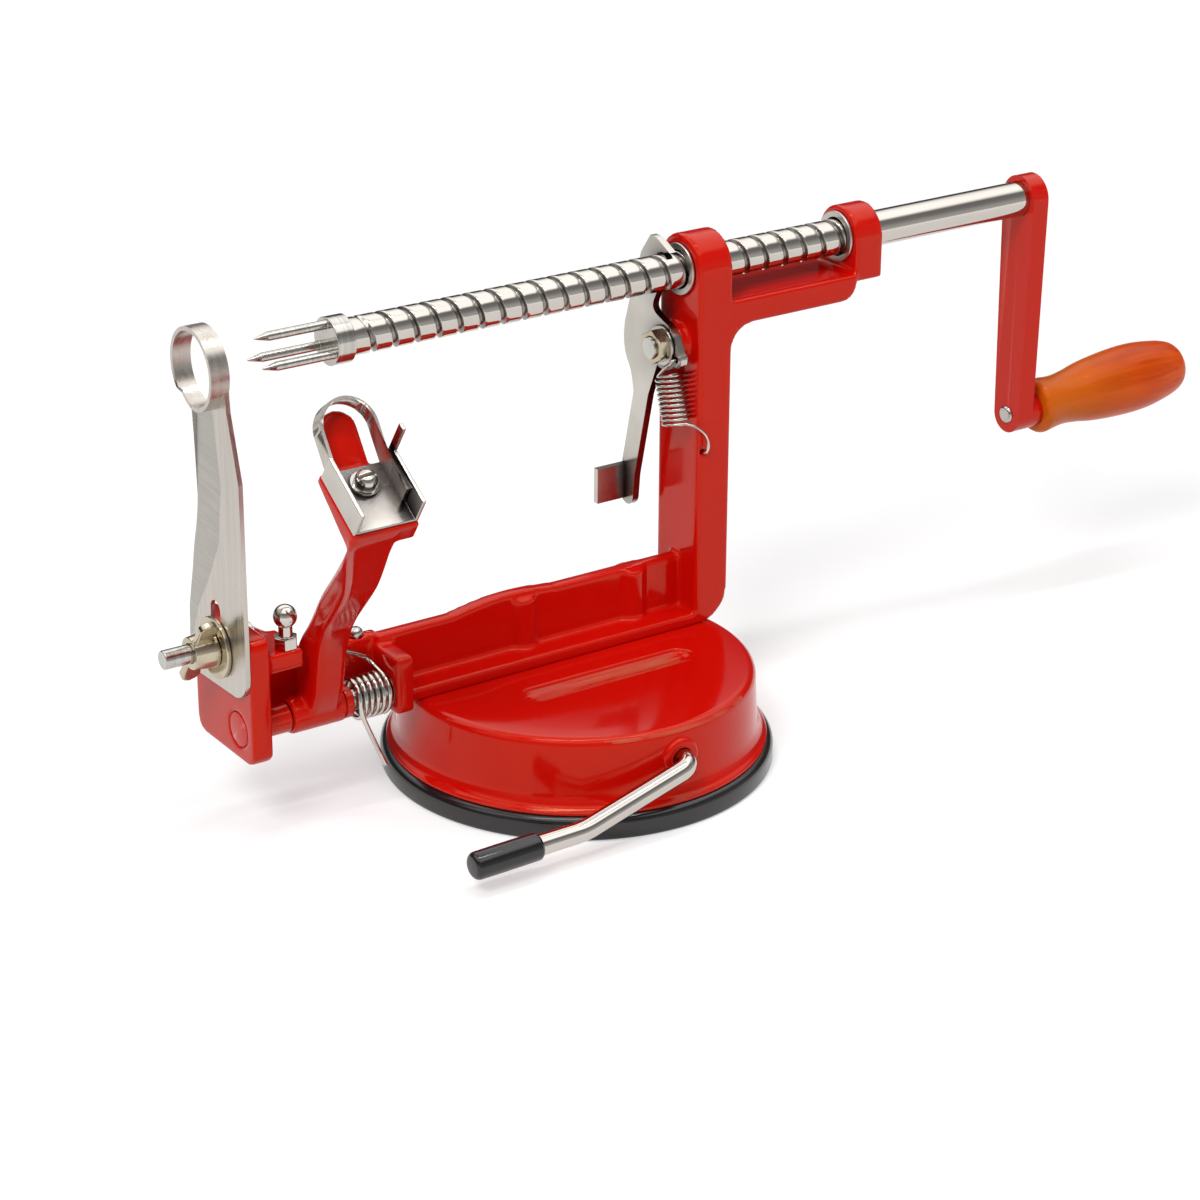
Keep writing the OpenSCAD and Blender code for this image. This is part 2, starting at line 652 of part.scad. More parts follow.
module release_lever() {
    x0 = release_x - release_t / 2;
    tooth_in = shaft_r - tooth_depth;
    color(chrome) union() {
        difference() {
            yz_plate(x0, release_t) release_outline();
            x_rod(x0 - 1, x0 + release_t + 1, pivot_r + fit, shaft_y, pivot_z);
            x_rod(x0 - 1, x0 + release_t + 1, ear_hole_r, ear_hole[0], ear_hole[1]);
        }
        // Small tooth that runs in the shaft's groove
        translate([release_x, shaft_y + tooth_in * cos(tooth_angle), shaft_z + tooth_in * sin(tooth_angle)])
            rotate([tooth_angle - 90, 0, 0]) cylinder(h = notch_r - tooth_in + 1, r = tooth_r, $fn = 24);
        translate([x0 - tab_l, tab_back - tab_t, tab_z]) cube([tab_l + release_t / 2, tab_t, tab_h]);
    }
}

release_left = release_x - release_t / 2;
washer_t = 0.8;
nut_t = 3;
nut_r = 4.8;
module release_bolt() {
    bolt_end = release_left - gap / 4 - washer_t - nut_t - 0.8;
    color(steel) x_rod(bolt_end, column_right - 3, pivot_r, shaft_y, pivot_z);
}
module release_washer() {
    color(steel) difference() {
        x_rod(release_left - gap / 4 - washer_t, release_left - gap / 4, 5.4, shaft_y, pivot_z);
        x_rod(release_left - 5, release_left + 1, pivot_r + seat, shaft_y, pivot_z);
    }
}
module release_nut() {
    right = release_left - gap / 4 - washer_t;
    color(zinc) difference() {
        translate([right - nut_t, shaft_y, pivot_z]) rotate([0, 90, 0])
            cylinder(h = nut_t, r = nut_r, $fn = 6);
        x_rod(right - nut_t - 1, right + 1, pivot_r + seat, shaft_y, pivot_z);
    }
}

// Helix points about an axis from one point to another
function helix(from, to, r, turns, hint, a0, n = 8) =
    let (w = unit(to - from), u = side_on(w, hint), v = cross(w, u), steps = round(abs(turns) * n))
    [for (i = [0:steps]) let (t = i / steps, a = a0 + 360 * turns * t)
        from + t * (to - from) + r * (u * cos(a) + v * sin(a))];

pull_top = [release_x, shaft_y - 1.4, pivot_z - 8];
pull_end = pull_top + [0, -3.8, -12.8];
pull_coil = helix(pull_top, pull_end, pull_coil_r, -pull_turns - 0.25, [1, 0, 0], 180);
// The lower hook, measured from the hole in the column's face
function hook(x, y, z) = [spring_hole[0] + x, frame_y0 + y, spring_hole[1] + z];
pull_route = concat(
    [[release_x + 2.4, ear_hole[0], ear_hole[1]], [release_x - 2.4, ear_hole[0], ear_hole[1]],
     [release_x - 3.2, ear_hole[0] + 0.4, ear_hole[1] - 1.2]],
    pull_coil,
    [hook(-3.4, -0.6, 8.2), hook(-1.2, -1.4, 6.3), hook(0.2, -1.5, 3.9), hook(0.5, -1.5, 1.9),
     hook(0.2, -1.3, 0.6), hook(0, -0.7, 0), hook(0, 2, 0)]);
module release_spring() {
    echo(release_spring_gap = self_gap(pull_route, pull_wire, 5));
    color(chrome) tube(pull_route, pull_wire, [0, 1, 0.2]);
}

// Slicing blade with the corer ring at its top
blade_right = plate_x - 0.1;
blade_left = blade_right - blade_t;
ring_wall = 1.1;

module blade_outline() {
    h = shaft_z;
    polygon(concat(
        arc([shaft_y - blade_w / 2 + 7, bolt_z - 3.5], 7, 180, 262),
        arc([shaft_y + blade_w / 2 - 4, bolt_z - 7], 4, 270, 350),
        through([[shaft_y + blade_w / 2, bolt_z + 6], [shaft_y + blade_w / 2 - 3, bolt_z + 22],
            [shaft_y + blade_w / 2 - 6.5, bolt_z + 38], [shaft_y + corer_r, h - 8]], 4),
        [[shaft_y + corer_r, h], [shaft_y - corer_r, h], [shaft_y - corer_r - 0.8, h - 9],
         [shaft_y - blade_w / 2, h - 26]]));
}

module slicing_blade() {
    slot_top = bolt_z + 10;
    color(steel) difference() {
        union() {
            yz_plate(blade_left, blade_t) blade_outline();
            x_rod(blade_right - corer_l, blade_right, corer_r + ring_wall, shaft_y, shaft_z);
        }
        x_rod(blade_right - corer_l - 1, blade_right + 1, corer_r, shaft_y, shaft_z);
        x_rod(blade_left - 1, blade_right + 1, bolt_r + fit, shaft_y, bolt_z);
        translate([blade_left - 1, shaft_y - bolt_r - fit, bolt_z])
            cube([blade_t + 2, 2 * (bolt_r + fit), slot_top - bolt_z]);
        x_rod(blade_left - 1, blade_right + 1, bolt_r + fit, shaft_y, slot_top);
    }
}

bolt_washer_t = 1.2;
bolt_washer_r = 8;
wing_x = blade_left - bolt_washer_t - 0.2;
wing_l = 6.4;
module blade_bolt() {
    color(steel) union() {
        x_rod(wing_x - wing_l - 7.5, plate_right + 0.1, bolt_r, shaft_y, bolt_z);
        x_rod(plate_right, plate_right + bolt_head_t, bolt_head_r, shaft_y, bolt_z);
    }
}
module blade_washer() {
    color(zinc) difference() {
        x_rod(blade_left - bolt_washer_t - 0.1, blade_left - 0.1, bolt_washer_r, shaft_y, bolt_z);
        x_rod(blade_left - 5, blade_left + 1, bolt_r + seat, shaft_y, bolt_z);
    }
}
module wing_nut() {
    wing_span = 12;
    wing_t = 2;
    wing_tip_r = 2.6;
    wing_turn = -55;
    color(zinc) difference() {
        union() {
            translate([wing_x, shaft_y, bolt_z]) rotate([0, -90, 0]) cylinder(h = wing_l, r1 = 5, r2 = 4.2);
            for (s = [-1, 1]) translate([wing_x, shaft_y, bolt_z]) rotate([wing_turn + (s < 0 ? 180 : 0), 0, 0])
                translate([0, 0, -wing_t / 2]) linear_extrude(wing_t)
                polygon(concat([[-1, 3.2], [-1.6, 6]],
                    arc([wing_tip_r - wing_l, wing_span - wing_tip_r], wing_tip_r, -10, 190, 12),
                    [[-wing_l + 0.2, 3.2]]));
        }
        x_rod(wing_x - wing_l - 6, wing_x + 1, bolt_r + fit, shaft_y, bolt_z);
    }
}

// Peeling arm: hub, bar and a sloping head with a tongue, drawn from the side and from the front
hub_left = bar_x - 4.5;
hub_right = bar_x + bar_w + 2;
bar_lean = 13.8;
head_x = bar_x - bar_lean;
knee = [-48, 100.1];
u = [cos(head_slope), sin(head_slope)];
n = [-sin(head_slope), cos(head_slope)];
head_l = 18.5;
head_t = 5.7;
head_tip_t = 2.4;
head_lip = 0.8;
loop_slope = head_slope + 22;
loop_l = 16.4;
tongue_l = 14.6;
tongue_w = 10;
tongue_t = 3.2;
tongue_sink = 1.2;
clamp_x = head_x + 0.1;
clamp_wall = 1;
clamp_l = 17.8;
clamp_screw_u = 12.4;
clamp_screw_r = 1.6;
mid_x = clamp_x + clamp_w / 2;

// Places a shape on the head: X across, Y up the head, Z out of its face
module on_head() {
    translate([0, knee[0], knee[1]]) rotate([head_slope, 0, 0]) children();
}
// Places a shape on the steeper loop, which starts at the clamp's upper end
module on_loop() {
    on_head() translate([0, clamp_l, clamp_wall + seat]) rotate([loop_slope - head_slope, 0, 0]) children();
}

module bar_side() {
    polygon(concat(
        through([[pin_y + hub_r - 0.3, pin_z], [8.5, 42], [6.6, 49.4], [-0.1, 57.6], [-13, 71], [-28, 82.8],
            knee + 0.8 * u - head_t * n], 4),
        [knee + 4 * u - head_tip_t * n, knee - head_lip * u - n],
        through([knee - head_lip * u - head_t * n, [-29.5, 77.2], [-11, 60], [-5.8, 52], [-3.6, 44],
            [-2.2, 37], [pin_y - hub_r + 0.3, pin_z]], 4)));
}
module bar_front() {
    top_w = 13;
    left = through([[bar_x, pin_z], [bar_x, 48], [bar_x - 0.6, 58], [bar_x - 4, 72], [bar_x - 8.2, 82.3],
        [head_x, knee[1] - 4.5], [head_x, knee[1] + 8]], 4);
    right = through([[head_x + top_w, knee[1] + 8], [head_x + top_w, knee[1] - 4.5], [bar_x + bar_w - 4, 75],
        [bar_x + bar_w - 0.4, 59], [bar_x + bar_w, 50], [bar_x + bar_w, pin_z]], 4);
    polygon(concat(left, right));
}

module peel_arm() {
    color(cast_red) difference() {
        union() {
            x_rod(hub_left, hub_right, hub_r, pin_y, pin_z);
            intersection() {
                yz_plate(head_x - 1, bar_lean + bar_w + 2) bar_side();
                xz_plate(knee[0] - 20, pin_y - knee[0] + 40) bar_front();
            }
            on_head() yz_plate(head_x, head_w)
                polygon([[-head_lip, 0], [-head_lip, -head_t], [head_l, -head_tip_t], [head_l, 0]]);
            on_loop() translate([mid_x - tongue_w / 2, -3, -tongue_sink - tongue_t])
                cube([tongue_w, tongue_l + 3 - tongue_w / 2, tongue_t]);
            on_loop() translate([mid_x, tongue_l - tongue_w / 2, -tongue_sink - tongue_t])
                cylinder(h = tongue_t, r = tongue_w / 2);
        }
        x_rod(hub_left - 1, hub_right + 1, pin_r + fit, pin_y, pin_z);
        on_head() translate([mid_x, clamp_screw_u, -head_t]) cylinder(h = head_t + 1, r = clamp_screw_r + seat);
    }
}

// One strip: two legs inside the clamp's walls and a steeper loop that joins them
module peeling_blade() {
    half = clamp_w / 2 - clamp_wall - seat;
    leg_l = 12;
    centre = loop_l - half;
    color(steel) union() {
        on_head() for (x = [-half, half - strip_t])
            translate([mid_x + x, clamp_l - leg_l, clamp_wall + seat]) cube([strip_t, leg_l, strip_w]);
        on_loop() translate([mid_x, 0, 0]) linear_extrude(strip_w) polygon(concat(
            [[half, 0]], arc([0, centre], half, 0, 180, 24), [[-half, 0], [strip_t - half, 0]],
            arc([0, centre], half - strip_t, 180, 0, 24), [[half - strip_t, 0]]));
    }
}

module blade_clamp() {
    tang_h = 8;
    tang_w = 2.2;
    color(chrome) on_head() difference() {
        union() {
            translate([clamp_x, 0, 0]) cube([clamp_w, clamp_l, clamp_h + clamp_wall]);
            translate([clamp_x + clamp_w - clamp_wall, clamp_l - tang_w, clamp_h])
                cube([clamp_wall, tang_w, tang_h + clamp_wall]);
        }
        translate([clamp_x + clamp_wall, -1, clamp_wall])
            cube([clamp_w - 2 * clamp_wall, clamp_l + 2, clamp_h + tang_h + 1]);
        translate([mid_x, clamp_screw_u, -1]) cylinder(h = 4, r = clamp_screw_r + seat);
    }
}

// Dome headed screw with a washer face under its head
module clamp_screw() {
    head_r = 2.8;
    head_h = 4.2;
    round_r = 2;
    face_r = 3.6;
    face_t = 0.9;
    color(chrome) on_head() translate([mid_x, clamp_screw_u, clamp_wall]) union() {
        translate([0, 0, -3.4]) cylinder(h = 4, r = clamp_screw_r);
        difference() {
            rotate_extrude() polygon(concat([[0, 0], [face_r, 0], [face_r, face_t], [head_r, face_t]],
                arc([head_r - round_r, head_h - round_r], round_r, 0, 90), [[0, head_h]]));
            translate([-head_r, -0.5, head_h - 1.2]) cube([2 * head_r, 1, 2]);
        }
    }
}

module arm_pin() {
    color(steel) union() {
        x_rod(plate_x + 0.3, ear_x + ear_t, pin_r, pin_y, pin_z);
        x_rod(plate_x + 0.3, plate_x + pin_head_t, pin_head_r, pin_y, pin_z);
    }
}

// Spacer on the pin between the end plate and the arm's hub
module pin_sleeve() {
    x0 = plate_right + gap / 2;
    x1 = hub_left - gap / 2;
    color(cast_red) difference() {
        x_rod(x0, x1, pin_r + 0.9, pin_y, pin_z);
        x_rod(x0 - 1, x1 + 1, pin_r + seat, pin_y, pin_z);
    }
}

// Loose collar on the pin between the arm's hub and its spring
collar_x = hub_right + gap / 2;
collar_l = 2.2;
module pin_collar() {
    color(cast_red) difference() {
        x_rod(collar_x, collar_x + collar_l, hub_r - 0.3, pin_y, pin_z);
        x_rod(collar_x - 1, collar_x + collar_l + 1, pin_r + seat, pin_y, pin_z);
    }
}

arm_coil_x = collar_x + collar_l + arm_wire / 2 + 0.3;
arm_coil_l = arm_turns * (arm_wire + 0.45);
arm_coil_end = arm_coil_x + arm_coil_l;
arm_coil = helix([arm_coil_x, pin_y, pin_z], [arm_coil_end, pin_y, pin_z], arm_coil_r, -arm_turns,
    [0, 0, 1], 90);
// Points of the legs, measured from the pin's axis
function leg(x, y, z) = [x, pin_y + y, pin_z + z];
arm_route = concat(
    [leg(arm_coil_x + 5.2, -8.2, -16.5), leg(arm_coil_x + 3.6, -7.8, -12.5), leg(arm_coil_x + 0.5, -6.1, -3.6)],
    arm_coil,
    [leg(arm_coil_end - 0.4, 3.6, 6.4), leg(arm_coil_end - 2.6, 5, 8.8), leg(bar_x + bar_w + 2.4, 3.4, 13.6),
     leg(bar_x + bar_w + 1.2, 3.3, 14)]);
module arm_spring() {
    echo(arm_spring_gap = self_gap(arm_route, arm_wire, 5));
    color(chrome) tube(arm_route, arm_wire, [1, 0.2, 0]);
}

// Ball headed post on the shelf beside the end plate
module latch_post() {
    ball_r = 3.1;
    ball_z = post_seat_z + 8.4;
    color(chrome) union() {
        translate([post_x, post_y, post_seat_z - 4.5]) cylinder(h = ball_z - post_seat_z + 4.5, r = post_r);
        translate([post_x, post_y, post_seat_z]) cylinder(h = 3, r = 3.2, $fn = 6);
        translate([post_x, post_y, ball_z]) sphere(r = ball_r);
    }
}

// Round headed screw on top of the bay web
module stop_screw() {
    head_z = web_top - 1.1;
    color(steel) translate([stop_x, bay_y + web_t / 2, head_z]) union() {
        translate([0, 0, -6]) cylinder(h = 6.5, r = stop_r);
        rotate_extrude() polygon(concat([[0, 0], [2, 0], [2, 0.6]], arc([0.4, 0.6], 1.6, 0, 90), [[0, 2.2]]));
    }
}

base_housing();
suction_pad();
suction_stud();
suction_lever();
lever_cap();
frame();
frame_screws();
front_bush();
rear_bush();
shaft();
fork();
crank_arm();
handle_pin();
handle_grip();
release_lever();
release_bolt();
release_washer();
release_nut();
release_spring();
slicing_blade();
blade_bolt();
blade_washer();
wing_nut();
peel_arm();
arm_pin();
pin_sleeve();
pin_collar();
arm_spring();
peeling_blade();
blade_clamp();
clamp_screw();
latch_post();
stop_screw();
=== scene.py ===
# %% [markdown]
# # A hand cranked apple peeler
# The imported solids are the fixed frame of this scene: every piece below is made where
# its solid is, in the same axes, and rides on the same moving body. The order is the order
# of a bench: light and camera, finishes, castings, turned metal, stampings, springs, wood.

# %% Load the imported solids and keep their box
import math

import bmesh
import bpy
from mathutils import Matrix, Vector


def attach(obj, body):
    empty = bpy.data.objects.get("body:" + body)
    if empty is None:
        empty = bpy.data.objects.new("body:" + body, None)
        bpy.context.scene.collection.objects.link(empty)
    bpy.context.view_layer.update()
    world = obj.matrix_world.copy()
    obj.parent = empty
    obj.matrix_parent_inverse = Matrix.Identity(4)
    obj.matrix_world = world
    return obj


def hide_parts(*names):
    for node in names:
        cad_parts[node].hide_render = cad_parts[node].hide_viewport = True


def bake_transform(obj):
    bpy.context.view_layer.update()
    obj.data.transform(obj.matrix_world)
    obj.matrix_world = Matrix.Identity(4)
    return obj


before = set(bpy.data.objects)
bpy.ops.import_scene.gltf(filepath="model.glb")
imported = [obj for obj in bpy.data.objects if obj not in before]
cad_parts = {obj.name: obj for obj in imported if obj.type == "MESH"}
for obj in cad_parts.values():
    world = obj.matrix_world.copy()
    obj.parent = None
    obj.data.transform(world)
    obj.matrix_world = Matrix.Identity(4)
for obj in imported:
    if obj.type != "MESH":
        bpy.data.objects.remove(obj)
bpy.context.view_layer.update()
MM = 0.001
scene = bpy.context.scene
scene.view_settings.view_transform = "Standard"

# %% [markdown]
# ## Camera
# The picture was taken with a long lens from the fork's side, a little above the tool.
# A camera is placed by its position, two angles and a slight roll. Building its three axes
# by hand keeps the numbers readable, which a tracking constraint would hide.

# %% Camera
CAMERA_AT = Vector((-448.0, -674.3, 397.7)) * MM
AZIMUTH, ELEVATION, ROLL = (math.radians(a) for a in (34.03, 23.59, 0.3))
FOCAL_PIXELS, FRAME_PIXELS = 3360.0, 1200.0

camera_data = bpy.data.cameras.new("camera")
camera_data.sensor_width = 36.0
camera_data.lens = FOCAL_PIXELS / FRAME_PIXELS * camera_data.sensor_width
camera = bpy.data.objects.new("camera", camera_data)
scene.collection.objects.link(camera)
ahead = Vector((math.sin(AZIMUTH) * math.cos(ELEVATION), math.cos(AZIMUTH) * math.cos(ELEVATION),
                -math.sin(ELEVATION)))
right = Vector((math.cos(AZIMUTH), -math.sin(AZIMUTH), 0))
up = right.cross(ahead)
right, up = (math.cos(ROLL) * right + math.sin(ROLL) * up,
             math.cos(ROLL) * up - math.sin(ROLL) * right)
turn = Matrix((right, up, -ahead)).transposed().to_4x4()
camera.matrix_world = Matrix.Translation(CAMERA_AT) @ turn
camera_data.clip_start, camera_data.clip_end = 0.05, 50
scene.camera = camera
print("lens:", round(camera_data.lens, 1), "mm")

# %% [markdown]
# ## Studio
# Polished metal looks like what it reflects, so the set matters more than the lamps. The
# floor is a sheet of pale paper. Around it stands a tent that only reflections see: dark
# cloth low down, a bright ceiling above. It gives plated rods their dark and bright bands and
# keeps the enamel's colour deep. A long soft box overhead draws the crisp lines on round
# edges; the other two boxes only light, so that the rods keep one highlight each.

# %% Node helpers
def node_of(tree, kind, **values):
    """Adds a shader node and sets its properties or its unlinked inputs by name."""
    node = tree.nodes.new(kind)
    for key, value in values.items():
        if hasattr(node, key):
            setattr(node, key, value)
        else:
            node.inputs[key.replace("_", " ")].default_value = value
    return node


def material(name, **constants):
    """A material with a Principled shader whose plain values sit on its own sockets."""
    made = bpy.data.materials.new(name)
    made.use_nodes = True
    shader = made.node_tree.nodes["Principled BSDF"]
    for key, value in constants.items():
        shader.inputs[key.replace("_", " ")].default_value = value
    return made, made.node_tree, shader


def ramp(tree, stops):
    """A colour ramp from (position, grey or colour) pairs."""
    node = tree.nodes.new("ShaderNodeValToRGB")
    elements = node.color_ramp.elements
    while len(elements) < len(stops):
        elements.new(0.5)
    for element, (position, colour) in zip(elements, stops):
        element.position = position
        grey = isinstance(colour, (int, float))
        element.color = (colour, colour, colour, 1) if grey else (*colour, 1)
    return node


def spread(tree, value, low, high, start=0.0, end=1.0):
    """Maps a value from the range of start to end on to the range of low to high."""
    node = node_of(tree, "ShaderNodeMapRange", From_Min=start, From_Max=end, To_Min=low,
                   To_Max=high)
    tree.links.new(value, node.inputs["Value"])
    return node.outputs["Result"]


def seen_directly(tree):
    """1 where the camera, a reflection or a clear material looks, and 0 for light itself."""
    path = tree.nodes.new("ShaderNodeLightPath")
    value = path.outputs["Is Camera Ray"]
    for kind in ("Is Glossy Ray", "Is Transmission Ray"):
        both = node_of(tree, "ShaderNodeMath", operation="MAXIMUM")
        tree.links.new(value, both.inputs[0])
        tree.links.new(path.outputs[kind], both.inputs[1])
        value = both.outputs[0]
    return value


# %% Floor
FLOOR_HALF = 20.0
PAPER_DARK, PAPER_LIGHT = 0.69, 0.72
NEAR, FAR, GLOW_NEAR, GLOW_FAR = 0.25, 1.8, 0.43, 0.80


def stage_object(name, points, faces):
    """A piece of the set, which is no part of the tool."""
    mesh = bpy.data.meshes.new(name)
    mesh.from_pydata(points, [], faces)
    made = bpy.data.objects.new(name, mesh)
    scene.collection.objects.link(made)
    return made


corners = [(x * FLOOR_HALF, y * FLOOR_HALF, 0) for x, y in ((-1, -1), (1, -1), (1, 1), (-1, 1))]
floor = stage_object("floor", corners, [(0, 1, 2, 3)])
paper, tree, base = material("pale_paper", Roughness=0.9, Specular_IOR_Level=0.1,
                             Emission_Color=(1, 1, 1, 1))
mottle = node_of(tree, "ShaderNodeTexNoise", Scale=3.0)
shade = ramp(tree, [(0.3, PAPER_DARK), (0.7, PAPER_LIGHT)])
where = tree.nodes.new("ShaderNodeNewGeometry")
away = node_of(tree, "ShaderNodeVectorMath", operation="LENGTH")
rise = node_of(tree, "ShaderNodeMapRange", interpolation_type="SMOOTHSTEP", From_Min=NEAR,
               From_Max=FAR, To_Min=GLOW_NEAR, To_Max=GLOW_FAR)
lift = node_of(tree, "ShaderNodeMath", operation="MULTIPLY")
tree.links.new(mottle.outputs["Fac"], shade.inputs["Fac"])
tree.links.new(shade.outputs["Color"], base.inputs["Base Color"])
tree.links.new(where.outputs["Position"], away.inputs[0])
tree.links.new(away.outputs["Value"], rise.inputs["Value"])
tree.links.new(seen_directly(tree), lift.inputs[0])
tree.links.new(rise.outputs["Result"], lift.inputs[1])
tree.links.new(lift.outputs[0], base.inputs["Emission Strength"])
floor.data.materials.append(paper)
print("floor:", 2 * FLOOR_HALF, "m wide")

# %% World
FILL_LEVEL = 0.42
world = bpy.data.worlds.new("studio")
scene.world = world
world.use_nodes = True
tree = world.node_tree
sky = tree.nodes["Background"]
sky.inputs["Color"].default_value = (1, 1, 1, 1)
tree.links.new(spread(tree, seen_directly(tree), FILL_LEVEL, 1.0), sky.inputs["Strength"])
print("fill light:", FILL_LEVEL)

# %% Reflection tent
TENT_R, TENT_RINGS, TENT_SIDES, TENT_SINK = 2.6, 16, 32, 0.01


def around(count):
    """Equal angles of a full turn."""
    return [2 * math.pi * k / count for k in range(count)]


def bridge(faces, lower, upper, count):
    """Joins two rings of points, each given by its first number, with a band of faces."""
    for k in range(count):
        n = (k + 1) % count
        faces.append((lower + k, lower + n, upper + n, upper + k))


points, faces = [], []
for i in range(TENT_RINGS + 1):
    rise = math.pi / 2 * i / TENT_RINGS
    for a in around(TENT_SIDES):
        points.append((TENT_R * math.cos(rise) * math.cos(a), TENT_R * math.cos(rise) * math.sin(a),
                       TENT_R * math.sin(rise) - TENT_SINK))
for i in range(TENT_RINGS):
    bridge(faces, i * TENT_SIDES, (i + 1) * TENT_SIDES, TENT_SIDES)
tent = stage_object("reflection_tent", points, faces)
for ray in ("camera", "diffuse", "transmission", "volume_scatter", "shadow"):
    setattr(tent, "visible_" + ray, False)
print("tent:", len(faces), "faces")

# %% Tent cloth
# Each band is a share of the tent's height and a brightness.
CEILING = [(0.76, 1.9), (0.88, 1.9), (0.92, 1.2)]
BACK_BANDS = [(0.0, 0.25), (0.08, 0.06), (0.40, 0.08), (0.50, 0.8), (0.62, 1.5)]
FRONT_BANDS = [(0.0, 0.60), (0.20, 0.52), (0.46, 0.27), (0.66, 0.23), (0.71, 0.8)]
BACK_Y, FRONT_Y = 0.3, -0.9
cloth = bpy.data.materials.new("tent_cloth")
cloth.use_nodes = True
tree = cloth.node_tree
tree.nodes.remove(tree.nodes["Principled BSDF"])
glow = node_of(tree, "ShaderNodeEmission", Strength=1.0)
where = tree.nodes.new("ShaderNodeNewGeometry")
axes = tree.nodes.new("ShaderNodeSeparateXYZ")
tree.links.new(where.outputs["Position"], axes.inputs["Vector"])
height = node_of(tree, "ShaderNodeMath", operation="DIVIDE")
height.inputs[1].default_value = TENT_R
tree.links.new(axes.outputs["Z"], height.inputs[0])
both = node_of(tree, "ShaderNodeMix", data_type="RGBA")
for side, stops in (("A", BACK_BANDS), ("B", FRONT_BANDS)):
    bands = ramp(tree, stops + CEILING)
    tree.links.new(height.outputs[0], bands.inputs["Fac"])
    tree.links.new(bands.outputs["Color"], both.inputs[side])
near_side = spread(tree, axes.outputs["Y"], 0.0, 1.0, start=BACK_Y, end=FRONT_Y)
tree.links.new(near_side, both.inputs["Factor"])
tree.links.new(both.outputs["Result"], glow.inputs["Color"])
tree.links.new(glow.outputs["Emission"], tree.nodes["Material Output"].inputs["Surface"])
tent.data.materials.append(cloth)

# %% Soft boxes
MIDDLE = Vector((0.02, 0.0, 0.07))
# Name, place, width, height, watts, and whether metal mirrors the box.
SOFT_BOXES = [("key_box", (-0.8, -0.55, 1.1), 0.45, 0.45, 9.0, False),
              ("top_box", (0.0, -0.15, 1.35), 1.1, 0.09, 4.4, True),
              ("side_box", (1.0, -0.8, 0.6), 0.25, 0.7, 2.5, False)]
for name, at, wide, high, watts, mirrored in SOFT_BOXES:
    data = bpy.data.lights.new(name, "AREA")
    data.shape, data.size, data.size_y, data.energy = "RECTANGLE", wide, high, watts
    lamp = bpy.data.objects.new(name, data)
    scene.collection.objects.link(lamp)
    lamp.location = at
    lamp.rotation_euler = (MIDDLE - Vector(at)).to_track_quat("-Z", "Y").to_euler()
    lamp.visible_glossy = mirrored

# %% [markdown]
# ## Shared surface effects
# Four effects return on several finishes, so each is a node group built once: a fine
# unevenness for paint, plating and rubber, drawn streaks for worked metal, a mask of sharp
# edges, and painted shade in narrow hollows, found by ambient occlusion. Groups only hand out
# values and colours; the shader stays in its material.

# %% Unevenness
def new_group(name, inputs, outputs):
    """An empty shader group with value inputs, each with its default, and value outputs."""
    group = bpy.data.node_groups.new(name, "ShaderNodeTree")
    kind = "NodeSocketFloat"
    for label, default in inputs.items():
        socket = group.interface.new_socket(name=label, in_out="INPUT", socket_type=kind)
        socket.default_value = default
    for label in outputs:
        group.interface.new_socket(name=label, in_out="OUTPUT", socket_type=kind)
    return group, group.nodes.new("NodeGroupInput"), group.nodes.new("NodeGroupOutput")


uneven, given, result = new_group("uneven_skin", {"Size": 300.0, "Patch": 25.0},
                                  ["Height", "Patchiness"])
place = uneven.nodes.new("ShaderNodeTexCoord")
fine = node_of(uneven, "ShaderNodeTexNoise", Detail=3.0, Roughness=0.55)
broad = node_of(uneven, "ShaderNodeTexNoise", Detail=2.0)
for noise, size, output in ((fine, "Size", "Height"), (broad, "Patch", "Patchiness")):
    uneven.links.new(place.outputs["Object"], noise.inputs["Vector"])
    uneven.links.new(given.outputs[size], noise.inputs["Scale"])
    uneven.links.new(noise.outputs["Fac"], result.inputs[output])

# %% Streaks
streaks, given, result = new_group(
    "drawn_streaks", {"Along X": 20.0, "Along Y": 900.0, "Along Z": 900.0}, ["Height", "Mask"])
place = streaks.nodes.new("ShaderNodeTexCoord")
stretch = streaks.nodes.new("ShaderNodeCombineXYZ")
scaled = node_of(streaks, "ShaderNodeVectorMath", operation="MULTIPLY")
lines = node_of(streaks, "ShaderNodeTexNoise", Scale=1.0, Detail=4.0, Roughness=0.65)
for axis in "XYZ":
    streaks.links.new(given.outputs["Along " + axis], stretch.inputs[axis])
streaks.links.new(place.outputs["Object"], scaled.inputs[0])
streaks.links.new(stretch.outputs["Vector"], scaled.inputs[1])
streaks.links.new(scaled.outputs["Vector"], lines.inputs["Vector"])
sharp = spread(streaks, lines.outputs["Fac"], 0.0, 1.0, start=0.35, end=0.65)
streaks.links.new(lines.outputs["Fac"], result.inputs["Height"])
streaks.links.new(sharp, result.inputs["Mask"])

# %% Edges and hollows
# Pointiness picks out sharp edges; the enamel is lighter in colour along them.
edges, given, result = new_group("sharp_edge_mask", {"Start": 0.52, "End": 0.60}, ["Mask"])
shape = edges.nodes.new("ShaderNodeNewGeometry")
pick = node_of(edges, "ShaderNodeMapRange")
edges.links.new(shape.outputs["Pointiness"], pick.inputs["Value"])
edges.links.new(given.outputs["Start"], pick.inputs["From Min"])
edges.links.new(given.outputs["End"], pick.inputs["From Max"])
edges.links.new(pick.outputs["Result"], result.inputs["Mask"])

